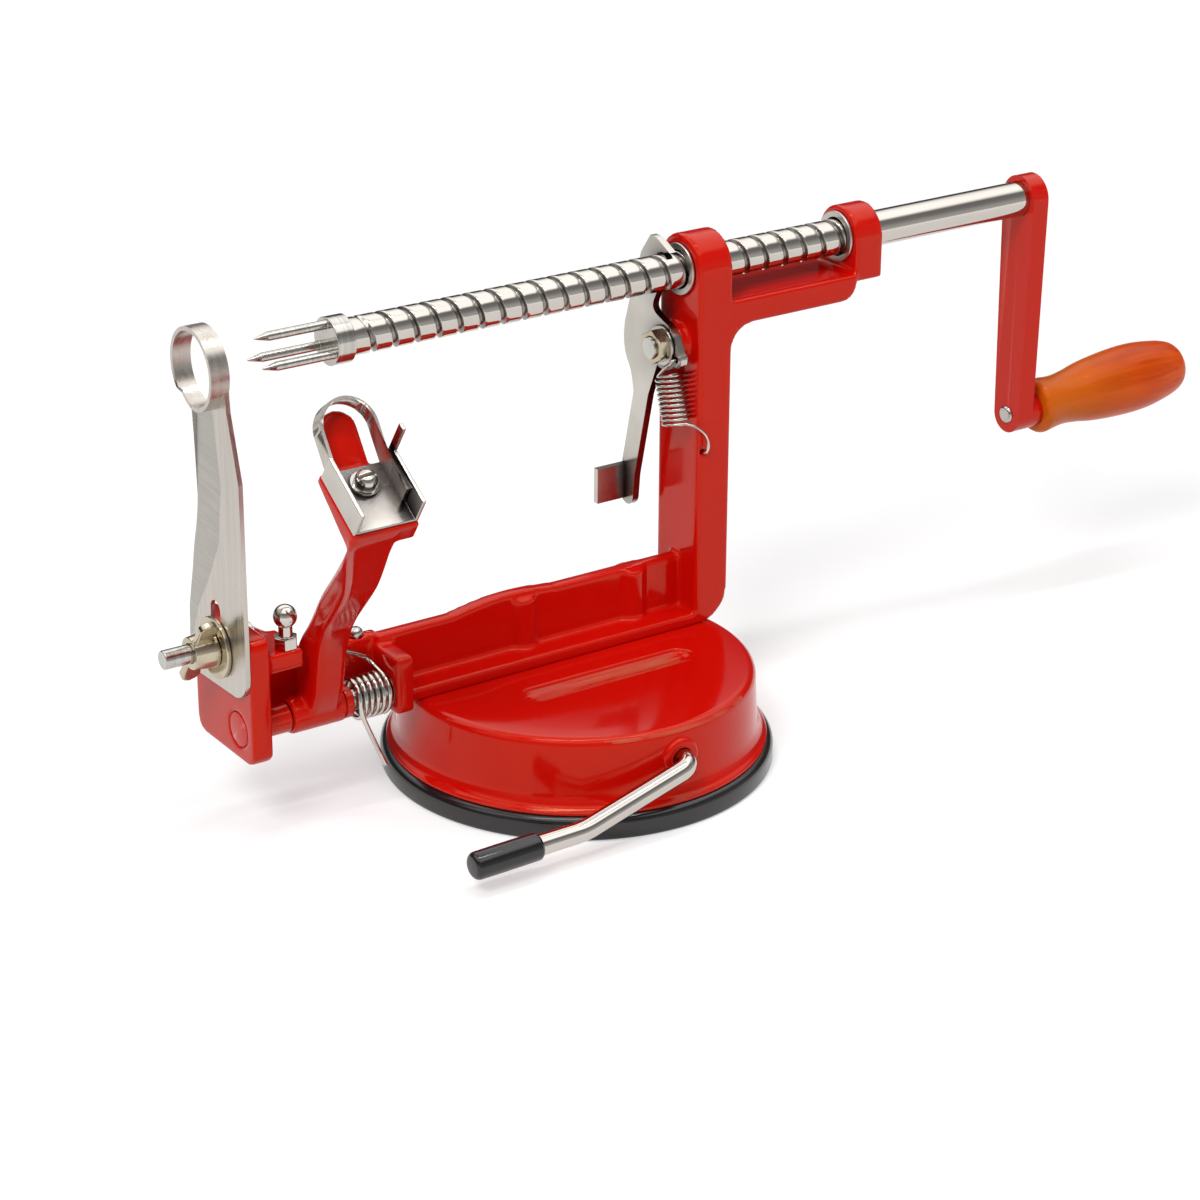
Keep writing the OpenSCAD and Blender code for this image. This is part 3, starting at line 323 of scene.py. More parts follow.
# Painted shade: ambient occlusion marks narrow hollows, where the colour turns dark.
hollow_shade_group, given, result = new_group("painted_hollow_shade", {"Reach": 0.008}, ["Mask"])
open_sky = node_of(hollow_shade_group, "ShaderNodeAmbientOcclusion", samples=8)
hollow_shade_group.links.new(given.outputs["Reach"], open_sky.inputs["Distance"])
clear = spread(hollow_shade_group, open_sky.outputs["AO"], 0.0, 1.0, start=0.5, end=0.98)
hollow_shade_group.links.new(clear, result.inputs["Mask"])
print("groups:", [g.name for g in (uneven, streaks, edges, hollow_shade_group)])

# %% [markdown]
# ## Finishes
# The castings wear a thick gloss enamel: deep red, with a faint orange peel and a clear coat
# that shows most along the edges, where the red is also lighter. The panel floor of the base
# is paler, duller and streaked. Rods and springs are chrome plated. Stamped sheet has a nickel
# plating with painted shade in its hollows, deepest in the channel on the arm. Blades are satin
# steel, pins and bolts are turned steel, and nuts are zinc plated with a straw tint. The pad and
# the lever's cap are black rubber. The grip is hardwood under an orange lacquer, paler towards
# the crank. Painted maps would need each piece unfolded; nodes that read the place of a point
# do without.

# %% Material helpers
def use_group(tree, group, **values):
    """Places a node group in a material, with its own values."""
    node = tree.nodes.new("ShaderNodeGroup")
    node.node_tree = group
    for key, value in values.items():
        node.inputs[key.replace("_", " ")].default_value = value
    return node


def blend_colours(tree, factor, first, second):
    """Mixes two colours, each written out or taken from a socket, by a value socket."""
    node = node_of(tree, "ShaderNodeMix", data_type="RGBA")
    for side, colour in (("A", first), ("B", second)):
        if isinstance(colour, tuple):
            node.inputs[side].default_value = (*colour, 1)
        else:
            tree.links.new(colour, node.inputs[side])
    tree.links.new(factor, node.inputs["Factor"])
    return node.outputs["Result"]


def feed(tree, shader, **sockets):
    """Links sockets to the shader's inputs by name."""
    for key, socket in sockets.items():
        tree.links.new(socket, shader.inputs[key.replace("_", " ")])


def bump(tree, shader, height, strength, depth_mm):
    """Tilts the surface by a height, without moving it."""
    node = node_of(tree, "ShaderNodeBump", Strength=strength, Distance=depth_mm * MM)
    tree.links.new(height, node.inputs["Height"])
    feed(tree, shader, Normal=node.outputs["Normal"])


# %% Red enamel
red_enamel, tree, shader = material(
    "red_enamel", Specular_IOR_Level=0.3, Specular_Tint=(1.0, 0.7, 0.35, 1), Coat_Roughness=0.04,
    Coat_IOR=1.5)
skin = use_group(tree, uneven, Size=420.0, Patch=30.0)
patches = skin.outputs["Patchiness"]
edge_share = use_group(tree, edges, Start=0.53, End=0.62).outputs["Mask"]
deep = blend_colours(tree, patches, (0.575, 0.0030, 0.0010), (0.635, 0.0045, 0.0016))
# Along sharp edges the red is lighter and the clear coat thicker.
feed(tree, shader, Base_Color=blend_colours(tree, edge_share, deep, (0.68, 0.014, 0.004)),
     Roughness=spread(tree, patches, 0.09, 0.16), Coat_Weight=spread(tree, edge_share, 0.08, 0.6))
bump(tree, shader, skin.outputs["Height"], strength=0.10, depth_mm=0.05)

# The panel floor is paler and duller, with streaks along the panel.
pale_panel_enamel, tree, shader = material("pale_streaked_enamel", Specular_IOR_Level=0.3)
panel_streaks = use_group(tree, streaks, Along_X=35.0, Along_Y=420.0, Along_Z=420.0).outputs["Mask"]
feed(tree, shader, Roughness=spread(tree, panel_streaks, 0.25, 0.50),
     Base_Color=blend_colours(tree, panel_streaks, (0.55, 0.012, 0.004), (0.50, 0.105, 0.050)))


# %% Chrome, zinc and rubber
def even_finish(name, sizes, colours, rough, depth, rough_by="Patchiness", **constants):
    """A finish whose colour drifts in patches over a finely uneven skin."""
    made, tree, shader = material(name, **constants)
    skin = use_group(tree, uneven, Size=sizes[0], Patch=sizes[1])
    feed(tree, shader, Base_Color=blend_colours(tree, skin.outputs["Patchiness"], *colours),
         Roughness=spread(tree, skin.outputs[rough_by], *rough))
    bump(tree, shader, skin.outputs["Height"], *depth)
    return made


chrome = even_finish("chrome_plate", (260.0, 60.0), ((0.51, 0.475, 0.435), (0.58, 0.545, 0.50)),
                     rough=(0.06, 0.12), depth=(0.05, 0.03), Metallic=1.0)
zinc = even_finish("straw_zinc", (240.0, 160.0), ((0.38, 0.31, 0.18), (0.60, 0.55, 0.45)),
                   rough=(0.08, 0.24), depth=(0.12, 0.04), rough_by="Height", Metallic=1.0)
rubber = even_finish("black_rubber", (900.0, 40.0), ((0.005, 0.004, 0.004), (0.011, 0.009, 0.009)),
                     rough=(0.12, 0.24), depth=(0.08, 0.04), Specular_IOR_Level=0.6)


# %% Nickel plated sheet
def nickel_sheet(name, reach):
    """Plated sheet, with painted shade in hollows up to a depth in metres."""
    made, tree, shader = material(name, Metallic=1.0)
    skin = use_group(tree, uneven, Size=200.0, Patch=70.0)
    patches = skin.outputs["Patchiness"]
    clear = use_group(tree, hollow_shade_group, Reach=reach).outputs["Mask"]
    bright = blend_colours(tree, patches, (0.38, 0.355, 0.32), (0.68, 0.64, 0.58))
    # Painted shade: the colour goes nearly black where the hollow mask is low.
    feed(tree, shader, Base_Color=blend_colours(tree, clear, (0.05, 0.042, 0.048), bright),
         Roughness=spread(tree, patches, 0.14, 0.26))
    bump(tree, shader, skin.outputs["Height"], strength=0.05, depth_mm=0.03)
    return made


nickel = nickel_sheet("nickel_plate", reach=0.012)
# The clamp's channel reaches further, so its painted shade is deeper.
channel_nickel_deep_shade = nickel_sheet("nickel_channel_painted_shade", reach=0.035)


# %% Worked steel
def steel_material(name, dark, light, rough, along, strength):
    """Worked steel whose streaks run along the axis with the smallest scale."""
    made, tree, shader = material(name, Metallic=1.0)
    drawn = use_group(tree, streaks, Along_X=along[0], Along_Y=along[1], Along_Z=along[2])
    skin = use_group(tree, uneven, Size=180.0, Patch=45.0)
    mixed = node_of(tree, "ShaderNodeMath", operation="MULTIPLY")
    tree.links.new(drawn.outputs["Mask"], mixed.inputs[0])
    tree.links.new(skin.outputs["Patchiness"], mixed.inputs[1])
    feed(tree, shader, Base_Color=blend_colours(tree, drawn.outputs["Mask"], dark, light),
         Roughness=spread(tree, mixed.outputs[0], *rough))
    bump(tree, shader, drawn.outputs["Height"], strength, depth_mm=0.03)
    return made


satin_steel = steel_material("satin_steel", (0.47, 0.43, 0.385), (0.56, 0.515, 0.465),
                             (0.26, 0.42), (900.0, 900.0, 25.0), 0.10)
ground_steel = steel_material("ground_edge", (0.36, 0.335, 0.305), (0.45, 0.42, 0.385),
                              (0.30, 0.46), (900.0, 40.0, 1200.0), 0.14)
# The groove's steel is darker than the plated flats.
dark_groove_steel = steel_material("darker_groove_steel", (0.17, 0.16, 0.145), (0.30, 0.285, 0.26),
                             (0.24, 0.40), (300.0, 300.0, 300.0), 0.10)
turned_steel = steel_material("turned_steel", (0.40, 0.38, 0.35), (0.54, 0.515, 0.48),
                              (0.11, 0.24), (1400.0, 60.0, 60.0), 0.10)
sintered_steel = steel_material("sintered_bush", (0.48, 0.445, 0.405), (0.60, 0.56, 0.515),
                                (0.30, 0.46), (700.0, 700.0, 700.0), 0.16)

# %% Lacquered wood
PALE_FROM, PALE_TO, PALE_MOST, CLOUDING = 0.176, 0.200, 0.8, 0.35
wood, tree, shader = material(
    "lacquered_wood", Specular_IOR_Level=0.10, Specular_Tint=(1.0, 0.75, 0.4, 1), Coat_Weight=0.22,
    Coat_Roughness=0.05, Coat_IOR=1.5)
grain = use_group(tree, streaks, Along_X=14.0, Along_Y=420.0, Along_Z=420.0)
pores = use_group(tree, streaks, Along_X=120.0, Along_Y=2600.0, Along_Z=2600.0)
skin = use_group(tree, uneven, Size=300.0, Patch=45.0)
tone = ramp(tree, [(0.30, (0.54, 0.050, 0.0006)), (0.50, (0.67, 0.072, 0.0009)),
                   (0.70, (0.76, 0.098, 0.0015))])
tree.links.new(grain.outputs["Height"], tone.inputs["Fac"])
place = tree.nodes.new("ShaderNodeTexCoord")
axes = tree.nodes.new("ShaderNodeSeparateXYZ")
tree.links.new(place.outputs["Object"], axes.inputs["Vector"])
pale = spread(tree, axes.outputs["X"], PALE_MOST, 0.0, start=PALE_FROM, end=PALE_TO)
waist = blend_colours(tree, pale, tone.outputs["Color"], (0.64, 0.135, 0.005))
cloud = ramp(tree, [(0.35, 0.62), (0.6, 1.0)])
tree.links.new(skin.outputs["Patchiness"], cloud.inputs["Fac"])
figure = node_of(tree, "ShaderNodeMix", data_type="RGBA", blend_type="MULTIPLY", Factor=CLOUDING)
tree.links.new(waist, figure.inputs["A"])
tree.links.new(cloud.outputs["Color"], figure.inputs["B"])
feed(tree, shader, Base_Color=figure.outputs["Result"],
     Roughness=spread(tree, pores.outputs["Mask"], 0.30, 0.44))
bump(tree, shader, pores.outputs["Height"], strength=0.08, depth_mm=0.05)
FINISH = {"red_paint": red_enamel, "chrome": chrome, "steel": satin_steel, "zinc_plate": zinc,
          "black_rubber": rubber, "lacquered_wood": wood}
print("finishes:", [m.name for m in bpy.data.materials if m.users])

# %% [markdown]
# ## Mesh helpers
# Four ways of making a piece cover the tool. A casting starts as a copy of its solid,
# is rebuilt from small voxels and relaxed, which rounds every edge and corner as a mould
# does. A stamped or machined piece keeps its solid's faces and gets a narrow bevel. A
# turned piece is spun from a profile with round corners. A wire is swept along a path.

# %% Copies of solids
WELD, FLAT = 3e-6, math.radians(0.6)


def put(name, mesh):
    """An object for a mesh or curve."""
    made = bpy.data.objects.new(name, mesh)
    scene.collection.objects.link(made)
    return made


def settle(piece):
    """Applies a piece's modifiers, so that the mesh is what shows."""
    graph = bpy.context.evaluated_depsgraph_get()
    mesh = bpy.data.meshes.new_from_object(piece.evaluated_get(graph), depsgraph=graph)
    name, old = piece.name, piece.data
    if piece.type == "MESH":
        piece.modifiers.clear()
        piece.data = mesh
        bpy.data.meshes.remove(old)
        mesh.name = name
        return piece
    bpy.data.objects.remove(piece)
    return put(name, mesh)


def solid_copy(node, name):
    """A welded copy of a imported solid, with its flat faces joined."""
    work = bmesh.new()
    work.from_mesh(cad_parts[node].data)
    bmesh.ops.remove_doubles(work, verts=work.verts, dist=WELD)
    bmesh.ops.dissolve_limit(work, angle_limit=FLAT, verts=work.verts, edges=work.edges)
    mesh = bpy.data.meshes.new(name)
    work.to_mesh(mesh)
    work.free()
    if "custom_normal" in mesh.attributes:
        mesh.attributes.remove(mesh.attributes["custom_normal"])
    mesh.materials.clear()
    return put(name, mesh)


# %% Castings and round edges
EDGE_ANGLE = math.radians(32)


def cast(piece, voxel_mm, rounds):
    """A casting: voxels join and round the piece's shells, and smoothing relaxes them."""
    voxels = piece.modifiers.new("voxels", "REMESH")
    voxels.mode, voxels.voxel_size = "VOXEL", voxel_mm * MM
    relax = piece.modifiers.new("relax", "SMOOTH")
    relax.factor, relax.iterations = 0.5, rounds
    settle(piece)
    piece.data.shade_smooth()
    return piece


def edged(piece, bevel_mm, segments=3):
    """Narrow round edges on a stamped or machined piece."""
    piece.data.shade_smooth()
    rim = piece.modifiers.new("rim", "BEVEL")
    rim.width, rim.segments, rim.limit_method = bevel_mm * MM, segments, "ANGLE"
    rim.angle_limit = EDGE_ANGLE
    even = piece.modifiers.new("even", "WEIGHTED_NORMAL")
    even.keep_sharp = False
    return settle(piece)


# %% Turned pieces
CREASE = math.radians(38)


def round_corner(before, corner, after, radius, steps):
    """Points of an arc between two straight lengths; short lengths get a smaller arc."""
    a, b = before - corner, after - corner
    half = a.angle(b) / 2
    back = min(radius / math.tan(half), 0.49 * a.length, 0.49 * b.length)
    radius = back * math.tan(half)
    centre = corner + (a.normalized() + b.normalized()).normalized() * radius / math.sin(half)
    first, last = corner + a.normalized() * back - centre, corner + b.normalized() * back - centre
    return [centre + radius * first.slerp(last, k / steps) for k in range(steps + 1)]


def fillet(points, steps=5):
    """Rounds the corners of a flat path of (u, v) or (u, v, radius) points."""
    flat, path = [Vector(p[:2]) for p in points], []
    for i, p in enumerate(points):
        if len(p) < 3 or i in (0, len(points) - 1):
            path.append(flat[i])
        else:
            path += round_corner(flat[i - 1], flat[i], flat[i + 1], p[2], steps)
    return path


def mesh_from(name, points_mm, faces):
    """A mesh of points in millimetres, with creases kept sharp."""
    mesh = bpy.data.meshes.new(name)
    mesh.from_pydata([Vector(p) * MM for p in points_mm], [], faces)
    work = bmesh.new()
    work.from_mesh(mesh)
    bmesh.ops.recalc_face_normals(work, faces=work.faces)
    work.to_mesh(mesh)
    work.free()
    mesh.shade_smooth()
    mesh.set_sharp_from_angle(angle=CREASE)
    return put(name, mesh)


def turned(name, profile, at, axis, sides=72, ring=False):
    """Spins (radius, along) pairs round an axis; ring joins the last pair to the first."""
    axis = Vector(axis).normalized()
    u = axis.orthogonal().normalized()
    v = axis.cross(u)
    points, loops, faces = [], [], []
    for radius, along in profile:
        centre = Vector(at) + axis * along
        count = 1 if radius < 1e-6 else sides
        loops.append(range(len(points), len(points) + count))
        for k in range(count):
            a = 2 * math.pi * k / sides
            points.append(centre + radius * (u * math.cos(a) + v * math.sin(a)))
    pairs = list(zip(loops, loops[1:])) + ([(loops[-1], loops[0])] if ring else [])
    for one, two in pairs:
        for k in range(sides):
            corner = [one[k % len(one)], one[(k + 1) % len(one)],
                      two[(k + 1) % len(two)], two[k % len(two)]]
            corner = list(dict.fromkeys(corner))
            if len(corner) > 2:
                faces.append(corner)
    return mesh_from(name, points, faces)


# %% Wires
def wire(name, path_mm, diameter_mm, sides):
    """A round wire along a path, with flat closed ends."""
    data = bpy.data.curves.new(name, "CURVE")
    data.dimensions, data.bevel_depth, data.use_fill_caps = "3D", diameter_mm / 2 * MM, True
    data.bevel_resolution = max(1, sides // 4 - 1)
    line = data.splines.new("POLY")
    line.points.add(len(path_mm) - 1)
    for point, p in zip(line.points, path_mm):
        point.co = (*(Vector(p) * MM), 1)
    line.use_smooth = True
    return settle(put(name, data))


# %% Finish, body and solid of a piece
def dress(piece, body, slot, *nodes, finish=None):
    """Gives a piece its finish, its body and the solids that it stands for."""
    piece.data.materials.clear()
    piece.data.materials.append(finish or FINISH[slot])
    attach(piece, body)
    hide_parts(*nodes)
    print(piece.name, "on", body, len(piece.data.polygons), "faces")
    return piece


def machined(node, name, body, slot, bevel_mm, segments=3, finish=None):
    """A bevelled copy that stands for its solid."""
    return dress(edged(solid_copy(node, name), bevel_mm, segments), body, slot, node, finish=finish)


# %% [markdown]
# ## Base and pad
# The base is a thin round casting on a soft pad. Its top edge carries the long highlight of
# the picture, so it is spun from a profile with true radii. The top face is a loft from the
# round edge to the long pressed panel, which keeps the flat part free of seams. Only the
# faces on the panel's floor get the paler, duller, streaked enamel.

# %% Base outline
BASE_R, BASE_H, BASE_WALL, PAD_H = 47.4, 26.2, 2.6, 6.4
SKIRT_R, INSIDE_R, SIDES = 50.8, 45.6, 144
FLARE_W, FLARE_H, FLARE_Z = 2.6, 4.8, 7.6
flare = [Vector((SKIRT_R - FLARE_W * math.cos(t), FLARE_Z + FLARE_H * (1 - math.sin(t))))
         for t in (math.radians(a) for a in range(80, -1, -10))]
outside = fillet([(SKIRT_R - 3, PAD_H), (SKIRT_R, PAD_H, 0.3), (SKIRT_R, 7.2)], 4) + flare
outside += fillet([(48.0, 14.0), (BASE_R, BASE_H, 2.5), (40.0, BASE_H)], 8)

# %% Panel outline
PANEL_L, PANEL_W, PANEL_AT, PANEL_SQUEEZE = 52.14, 8.0, (3.0, -11.0), 0.28
# Each ring of the panel is a step inwards from its outline and a depth.
PANEL_RINGS = [(-0.7, 0.0), (-0.35, 0.06), (-0.1, 0.3), (0.1, 0.75), (0.4, 1.05), (0.9, 1.25),
               (2.0, 1.5), (3.2, 1.6)]


def oblong(shrink, angle):
    """A point of the panel's outline in the direction of an angle from its middle."""
    r = PANEL_W / 2 - shrink
    straight = PANEL_L / 2 - PANEL_W / 2
    c, s = math.cos(angle), math.sin(angle)
    if abs(c) * r <= straight * abs(s) + 1e-9:
        t = r / abs(s)
        return t * c, t * s
    side = math.copysign(straight, c)
    t = side * c + math.sqrt(max(r * r - (side * s) ** 2, 0))
    return t * c, t * s


# %% Base shell
def level_ring(radius, z):
    """A ring of points round the base's axis."""
    return [(radius * math.cos(a), radius * math.sin(a), z) for a in around(SIDES)]


points, faces = [], []
for p in [Vector((INSIDE_R, PAD_H))] + outside:
    points += level_ring(p.x, p.y)
for shrink, drop in PANEL_RINGS:
    for a in around(SIDES):
        x, y = oblong(shrink, math.atan2(math.sin(a) * PANEL_SQUEEZE, math.cos(a)))
        points.append((PANEL_AT[0] + x, PANEL_AT[1] + y, BASE_H - drop))
inner = len(points)
for start in range(0, inner - SIDES, SIDES):
    bridge(faces, start, start + SIDES, SIDES)
faces.append(tuple(range(inner - SIDES, inner)))
points += level_ring(INSIDE_R, 21.0) + level_ring(43.0, BASE_H - BASE_WALL)
bridge(faces, 0, inner, SIDES)
bridge(faces, inner, inner + SIDES, SIDES)
faces.append(tuple(range(inner + SIDES, inner + 2 * SIDES)))
shell = dress(mesh_from("base_shell", points, faces), "frame", "red_paint", "base_housing")

# %% Pale panel floor and the lever's boss
PANEL_TOP, PANEL_FLOOR, PALE_SHARE = 0.7, 2.0, 0.42
shell.data.materials.append(pale_panel_enamel)
for face in shell.data.polygons:
    x, y, z = face.center / MM
    sunk = face.normal.z > 0.5 and PANEL_TOP < BASE_H - z < PANEL_FLOOR
    if sunk and abs(x - PANEL_AT[0]) < PALE_SHARE * PANEL_L:
        face.material_index = 1

LEVER_Z, LEVER_Y, ROD_R = 18.0, 53.2, 2.7
BOSS_Y, BOSS_R, BOSS_L, BOSS_BORE = -44.4, 5.3, 4.6, ROD_R + 0.1
boss = fillet([(BOSS_BORE, 0), (BOSS_R, 0), (BOSS_R, BOSS_L, 1.2), (BOSS_BORE, BOSS_L, 0.4),
               (BOSS_BORE, 0)])
boss = turned("lever_boss", boss, (0, BOSS_Y, LEVER_Z), (0, -1, 0), ring=True)
dress(boss, "frame", "red_paint")

# %% Suction pad
PAD_R, PAD_LIP_R, PAD_HOLLOW_R, PAD_SHEET = 52.5, 44.0, 43.0, 1.6
pad = fillet([(0, 0), (PAD_R, 0, 1.0), (PAD_R, PAD_H, 2.2), (PAD_LIP_R, PAD_H, 0.5),
              (PAD_HOLLOW_R, PAD_SHEET, 1.0), (0, PAD_SHEET)], 7)
pad = turned("rubber_pad", pad, (0, 0, 0), (0, 0, 1), SIDES)
dress(pad, "frame", "black_rubber", "suction_pad")

# %% [markdown]
# ## Suction lever
# The lever is one bent rod. A wire swept along a path with true bend radii shows the long
# reflections of a plated rod, where a chain of straight cylinders would break them.

# %% Lever rod
SLOPE_A, SLOPE_B = math.radians(16.2), math.radians(1.0)
ARM_A, ARM_B, ELBOW_R, BEND_R, TAIL_Y = 34.2, 30.7, 3.8, 22.0, 8.2
first = Vector((-math.cos(SLOPE_A), 0, -math.sin(SLOPE_A)))
second = Vector((-math.cos(SLOPE_B), 0, -math.sin(SLOPE_B)))
elbow = Vector((0, -LEVER_Y, LEVER_Z))
bend = elbow + ARM_A * first
tail = Vector((0, TAIL_Y, LEVER_Z))
tip = bend + ARM_B * second
path = [tail, *round_corner(tail, elbow, bend, ELBOW_R, 10),
        *round_corner(elbow, bend, tip, BEND_R, 8), tip]
dress(wire("lever_rod", path, 2 * ROD_R, 32), "suction_lever", "chrome", "suction_lever")

# %% Lever's cap
CAP_R, CAP_L, CAP_LIP, CAP_OVER = 3.6, 19.5, 0.4, 2.5
CAP_BORE, CAP_DEPTH = ROD_R + 0.05, CAP_L - 2.4
cap = fillet([(CAP_BORE, CAP_LIP), (CAP_R - 0.5, 0, 0.3), (CAP_R, 0.8, 0.5),
              (CAP_R + 0.05, 12.0, 3.0), (CAP_R, CAP_L, 1.5), (0, CAP_L)], 6)
cap += [Vector((0, CAP_DEPTH)), Vector((CAP_BORE, CAP_DEPTH)), Vector((CAP_BORE, CAP_LIP))]
cap_at = bend + second * (ARM_B + CAP_OVER - CAP_L)
cap = turned("lever_grip_cap", cap, cap_at, second, 48)
dress(cap, "suction_lever", "black_rubber", "lever_cap")

# %% [markdown]
# ## Castings
# The frame and the wing nut are poured metal. Their copies are rebuilt in voxels a little
# finer than the radius wanted, then relaxed a few rounds. The crank is a flat casting, for
# which a wide bevel is enough.

# %% Frame, wing nut and crank
poured = cast(solid_copy("frame", "frame_casting"), voxel_mm=0.55, rounds=9)
dress(poured, "frame", "red_paint", "frame")
poured = cast(solid_copy("wing_nut", "wing_nut_casting"), voxel_mm=0.22, rounds=6)
dress(poured, "wing_nut", "zinc_plate", "wing_nut")
machined("crank_arm", "crank_casting", "spindle", "red_paint", bevel_mm=1.1, segments=4)

# %% [markdown]
# ## Peeling arm
# The arm is cast in one: a hub on the pivot pin, a bar that leans and bends as it rises, a
# sloping head and a tongue under the blade. The bar is a loft of rounded sections, one for
# each level, cut from a side curve and a front curve. Hub, head and tongue are plain closed
# shells that cross it; the voxel step joins them and leaves soft fillets between them.

# %% Curves of the bar
BAR_X, BAR_W, HEAD_X, HEAD_W = -80.2, 8.7, -94.0, 17.8
PIN_Y, PIN_Z, HUB_R = 5.0, 30.5, 4.7
HEAD_SLOPE, LOOP_SLOPE = math.radians(33.5), math.radians(55.5)
KNEE = Vector((-48.0, 100.1))
HEAD_L, HEAD_T, HEAD_TIP_T, HEAD_LIP = 18.5, 5.7, 2.4, 0.8
CLAMP_W, CLAMP_L, CLAMP_WALL = 17.4, 17.8, 1.0
MID_X = HEAD_X + 0.1 + CLAMP_W / 2
uphill = Vector((math.cos(HEAD_SLOPE), math.sin(HEAD_SLOPE)))
outward = Vector((-math.sin(HEAD_SLOPE), math.cos(HEAD_SLOPE)))


def on_head(x, u, n):
    """A point of the sloping head: across, up the slope, out of the face."""
    p = KNEE + u * uphill + n * outward
    return Vector((x, p.x, p.y))


def on_loop(x, u, n):
    """A point of the steeper loop above the clamp."""
    p = on_head(x, CLAMP_L, CLAMP_WALL)
    c, s = math.cos(LOOP_SLOPE), math.sin(LOOP_SLOPE)
    return p + Vector((0, u * c - n * s, u * s + n * c))


def through(points, steps):
    """A smooth curve through given points."""
    path = []
    p = [Vector(q) for q in points]
    for i in range(len(p) - 1):
        a, b, c, d = p[max(i - 1, 0)], p[i], p[i + 1], p[min(i + 2, len(p) - 1)]
        for k in range(steps):
            t = k / steps
            path.append(b + t * (c - a) / 2 + t * t * (a - 2.5 * b + 2 * c - d / 2)
                        + t ** 3 * (1.5 * b - 1.5 * c + (d - a) / 2))
    return path + [p[-1]]


def at_level(curve, z):
    """The value of a rising curve at a height."""
    for (xa, za), (xb, zb) in zip(curve, curve[1:]):
        if z <= zb:
            return xa + (xb - xa) * (z - za) / (zb - za)
    return curve[-1][0]


STEPS_EACH, NECK_W, SUNK = 12, 13, 0.3
back = through([(PIN_Y + HUB_R - SUNK, PIN_Z), (8.5, 42), (6.6, 49.4), (-0.1, 57.6), (-13, 71),
                (-28, 82.8), KNEE + 0.8 * uphill - HEAD_T * outward,
                KNEE + 4 * uphill - HEAD_TIP_T * outward], STEPS_EACH)
front = through([(PIN_Y - HUB_R + SUNK, PIN_Z), (-2.2, 37), (-3.6, 44), (-5.8, 52), (-11, 60),
                 (-29.5, 77.2), KNEE - HEAD_LIP * uphill - HEAD_T * outward,
                 KNEE - HEAD_LIP * uphill - outward], STEPS_EACH)
left = through([(BAR_X, PIN_Z), (BAR_X, 48), (BAR_X - 0.6, 58), (BAR_X - 4, 72),
                (BAR_X - 8.2, 82.3), (HEAD_X, 95.6), (HEAD_X, 108.1)], STEPS_EACH)
BAR_RIGHT = BAR_X + BAR_W
right_side = through([(BAR_RIGHT, PIN_Z), (BAR_RIGHT, 50), (BAR_RIGHT - 0.4, 59),
                      (BAR_RIGHT - 4, 75), (HEAD_X + NECK_W, 95.6), (HEAD_X + NECK_W, 108.1)],
                     STEPS_EACH)

# %% Bar of the arm
BAR_TOP, LEVELS, CORNER, CORNER_STEPS = 98.4, 90, 1.6, 5
points, faces = [], []


def add_loft(loops):
    """Joins closed loops of equal length into a shell with flat ends."""
    start, count = len(points), len(loops[0])
    for loop in loops:
        points.extend(loop)
    last = len(points) - count
    for lower in range(start, last, count):
        bridge(faces, lower, lower + count, count)
    faces.append(tuple(reversed(range(start, start + count))))
    faces.append(tuple(range(last, last + count)))


sections = []
for i in range(LEVELS + 1):
    z = PIN_Z + (BAR_TOP - PIN_Z) * i / LEVELS
    x0, x1, y0, y1 = (at_level(curve, z) for curve in (left, right_side, front, back))
    r = min(CORNER, (y1 - y0) / 2.2)
    centres = ((x1 - r, y1 - r), (x0 + r, y1 - r), (x0 + r, y0 + r), (x1 - r, y0 + r))
    loop = []
    for quarter, (cx, cy) in enumerate(centres):
        for k in range(CORNER_STEPS + 1):
            a = math.pi / 2 * (quarter + k / CORNER_STEPS)
            loop.append(Vector((cx + r * math.cos(a), cy + r * math.sin(a), z)))
    sections.append(loop)
add_loft(sections)
print("bar:", len(faces), "faces")

# %% Head, tongue and hub
TONGUE_L, TONGUE_R, TONGUE_T, TONGUE_SINK, TONGUE_FOOT = 14.6, 5.0, 3.2, 1.2, -3.0
wedge = ((-HEAD_LIP, -HEAD_T), (HEAD_L, -HEAD_TIP_T), (HEAD_L, 0), (-HEAD_LIP, 0))
add_loft([[on_head(x, u, n) for u, n in wedge] for x in (HEAD_X, HEAD_X + HEAD_W)])
outline = [(MID_X + TONGUE_R, TONGUE_FOOT)]
outline += [(MID_X + TONGUE_R * math.cos(a), TONGUE_L - TONGUE_R + TONGUE_R * math.sin(a))
            for a in (math.pi * k / 24 for k in range(25))]
outline += [(MID_X - TONGUE_R, TONGUE_FOOT)]
add_loft([[on_loop(x, u, n) for x, u in outline] for n in (-TONGUE_SINK - TONGUE_T, -TONGUE_SINK)])

HUB_FROM, HUB_TO, BORE_R, HUB_SIDES = BAR_X - 4.5, BAR_RIGHT + 2, 3.1, 64
rings = [len(points) + i * HUB_SIDES for i in range(4)]
for x, r in ((HUB_FROM, BORE_R), (HUB_FROM, HUB_R), (HUB_TO, HUB_R), (HUB_TO, BORE_R)):
    points += [Vector((x, PIN_Y + r * math.cos(a), PIN_Z + r * math.sin(a)))
               for a in around(HUB_SIDES)]
for lower, upper in zip(rings, rings[1:] + rings[:1]):
    bridge(faces, lower, upper, HUB_SIDES)
arm = cast(mesh_from("arm_casting", points, faces), voxel_mm=0.38, rounds=14)
dress(arm, "peel_arm", "red_paint", "peel_arm")

# %% [markdown]
# ## Feed screw
# One helical groove runs along the shaft. The mesh is a single strip that follows the
# helix, so the groove's edges stay sharp and its highlights repeat once a turn. The groove
# fades out at both ends.

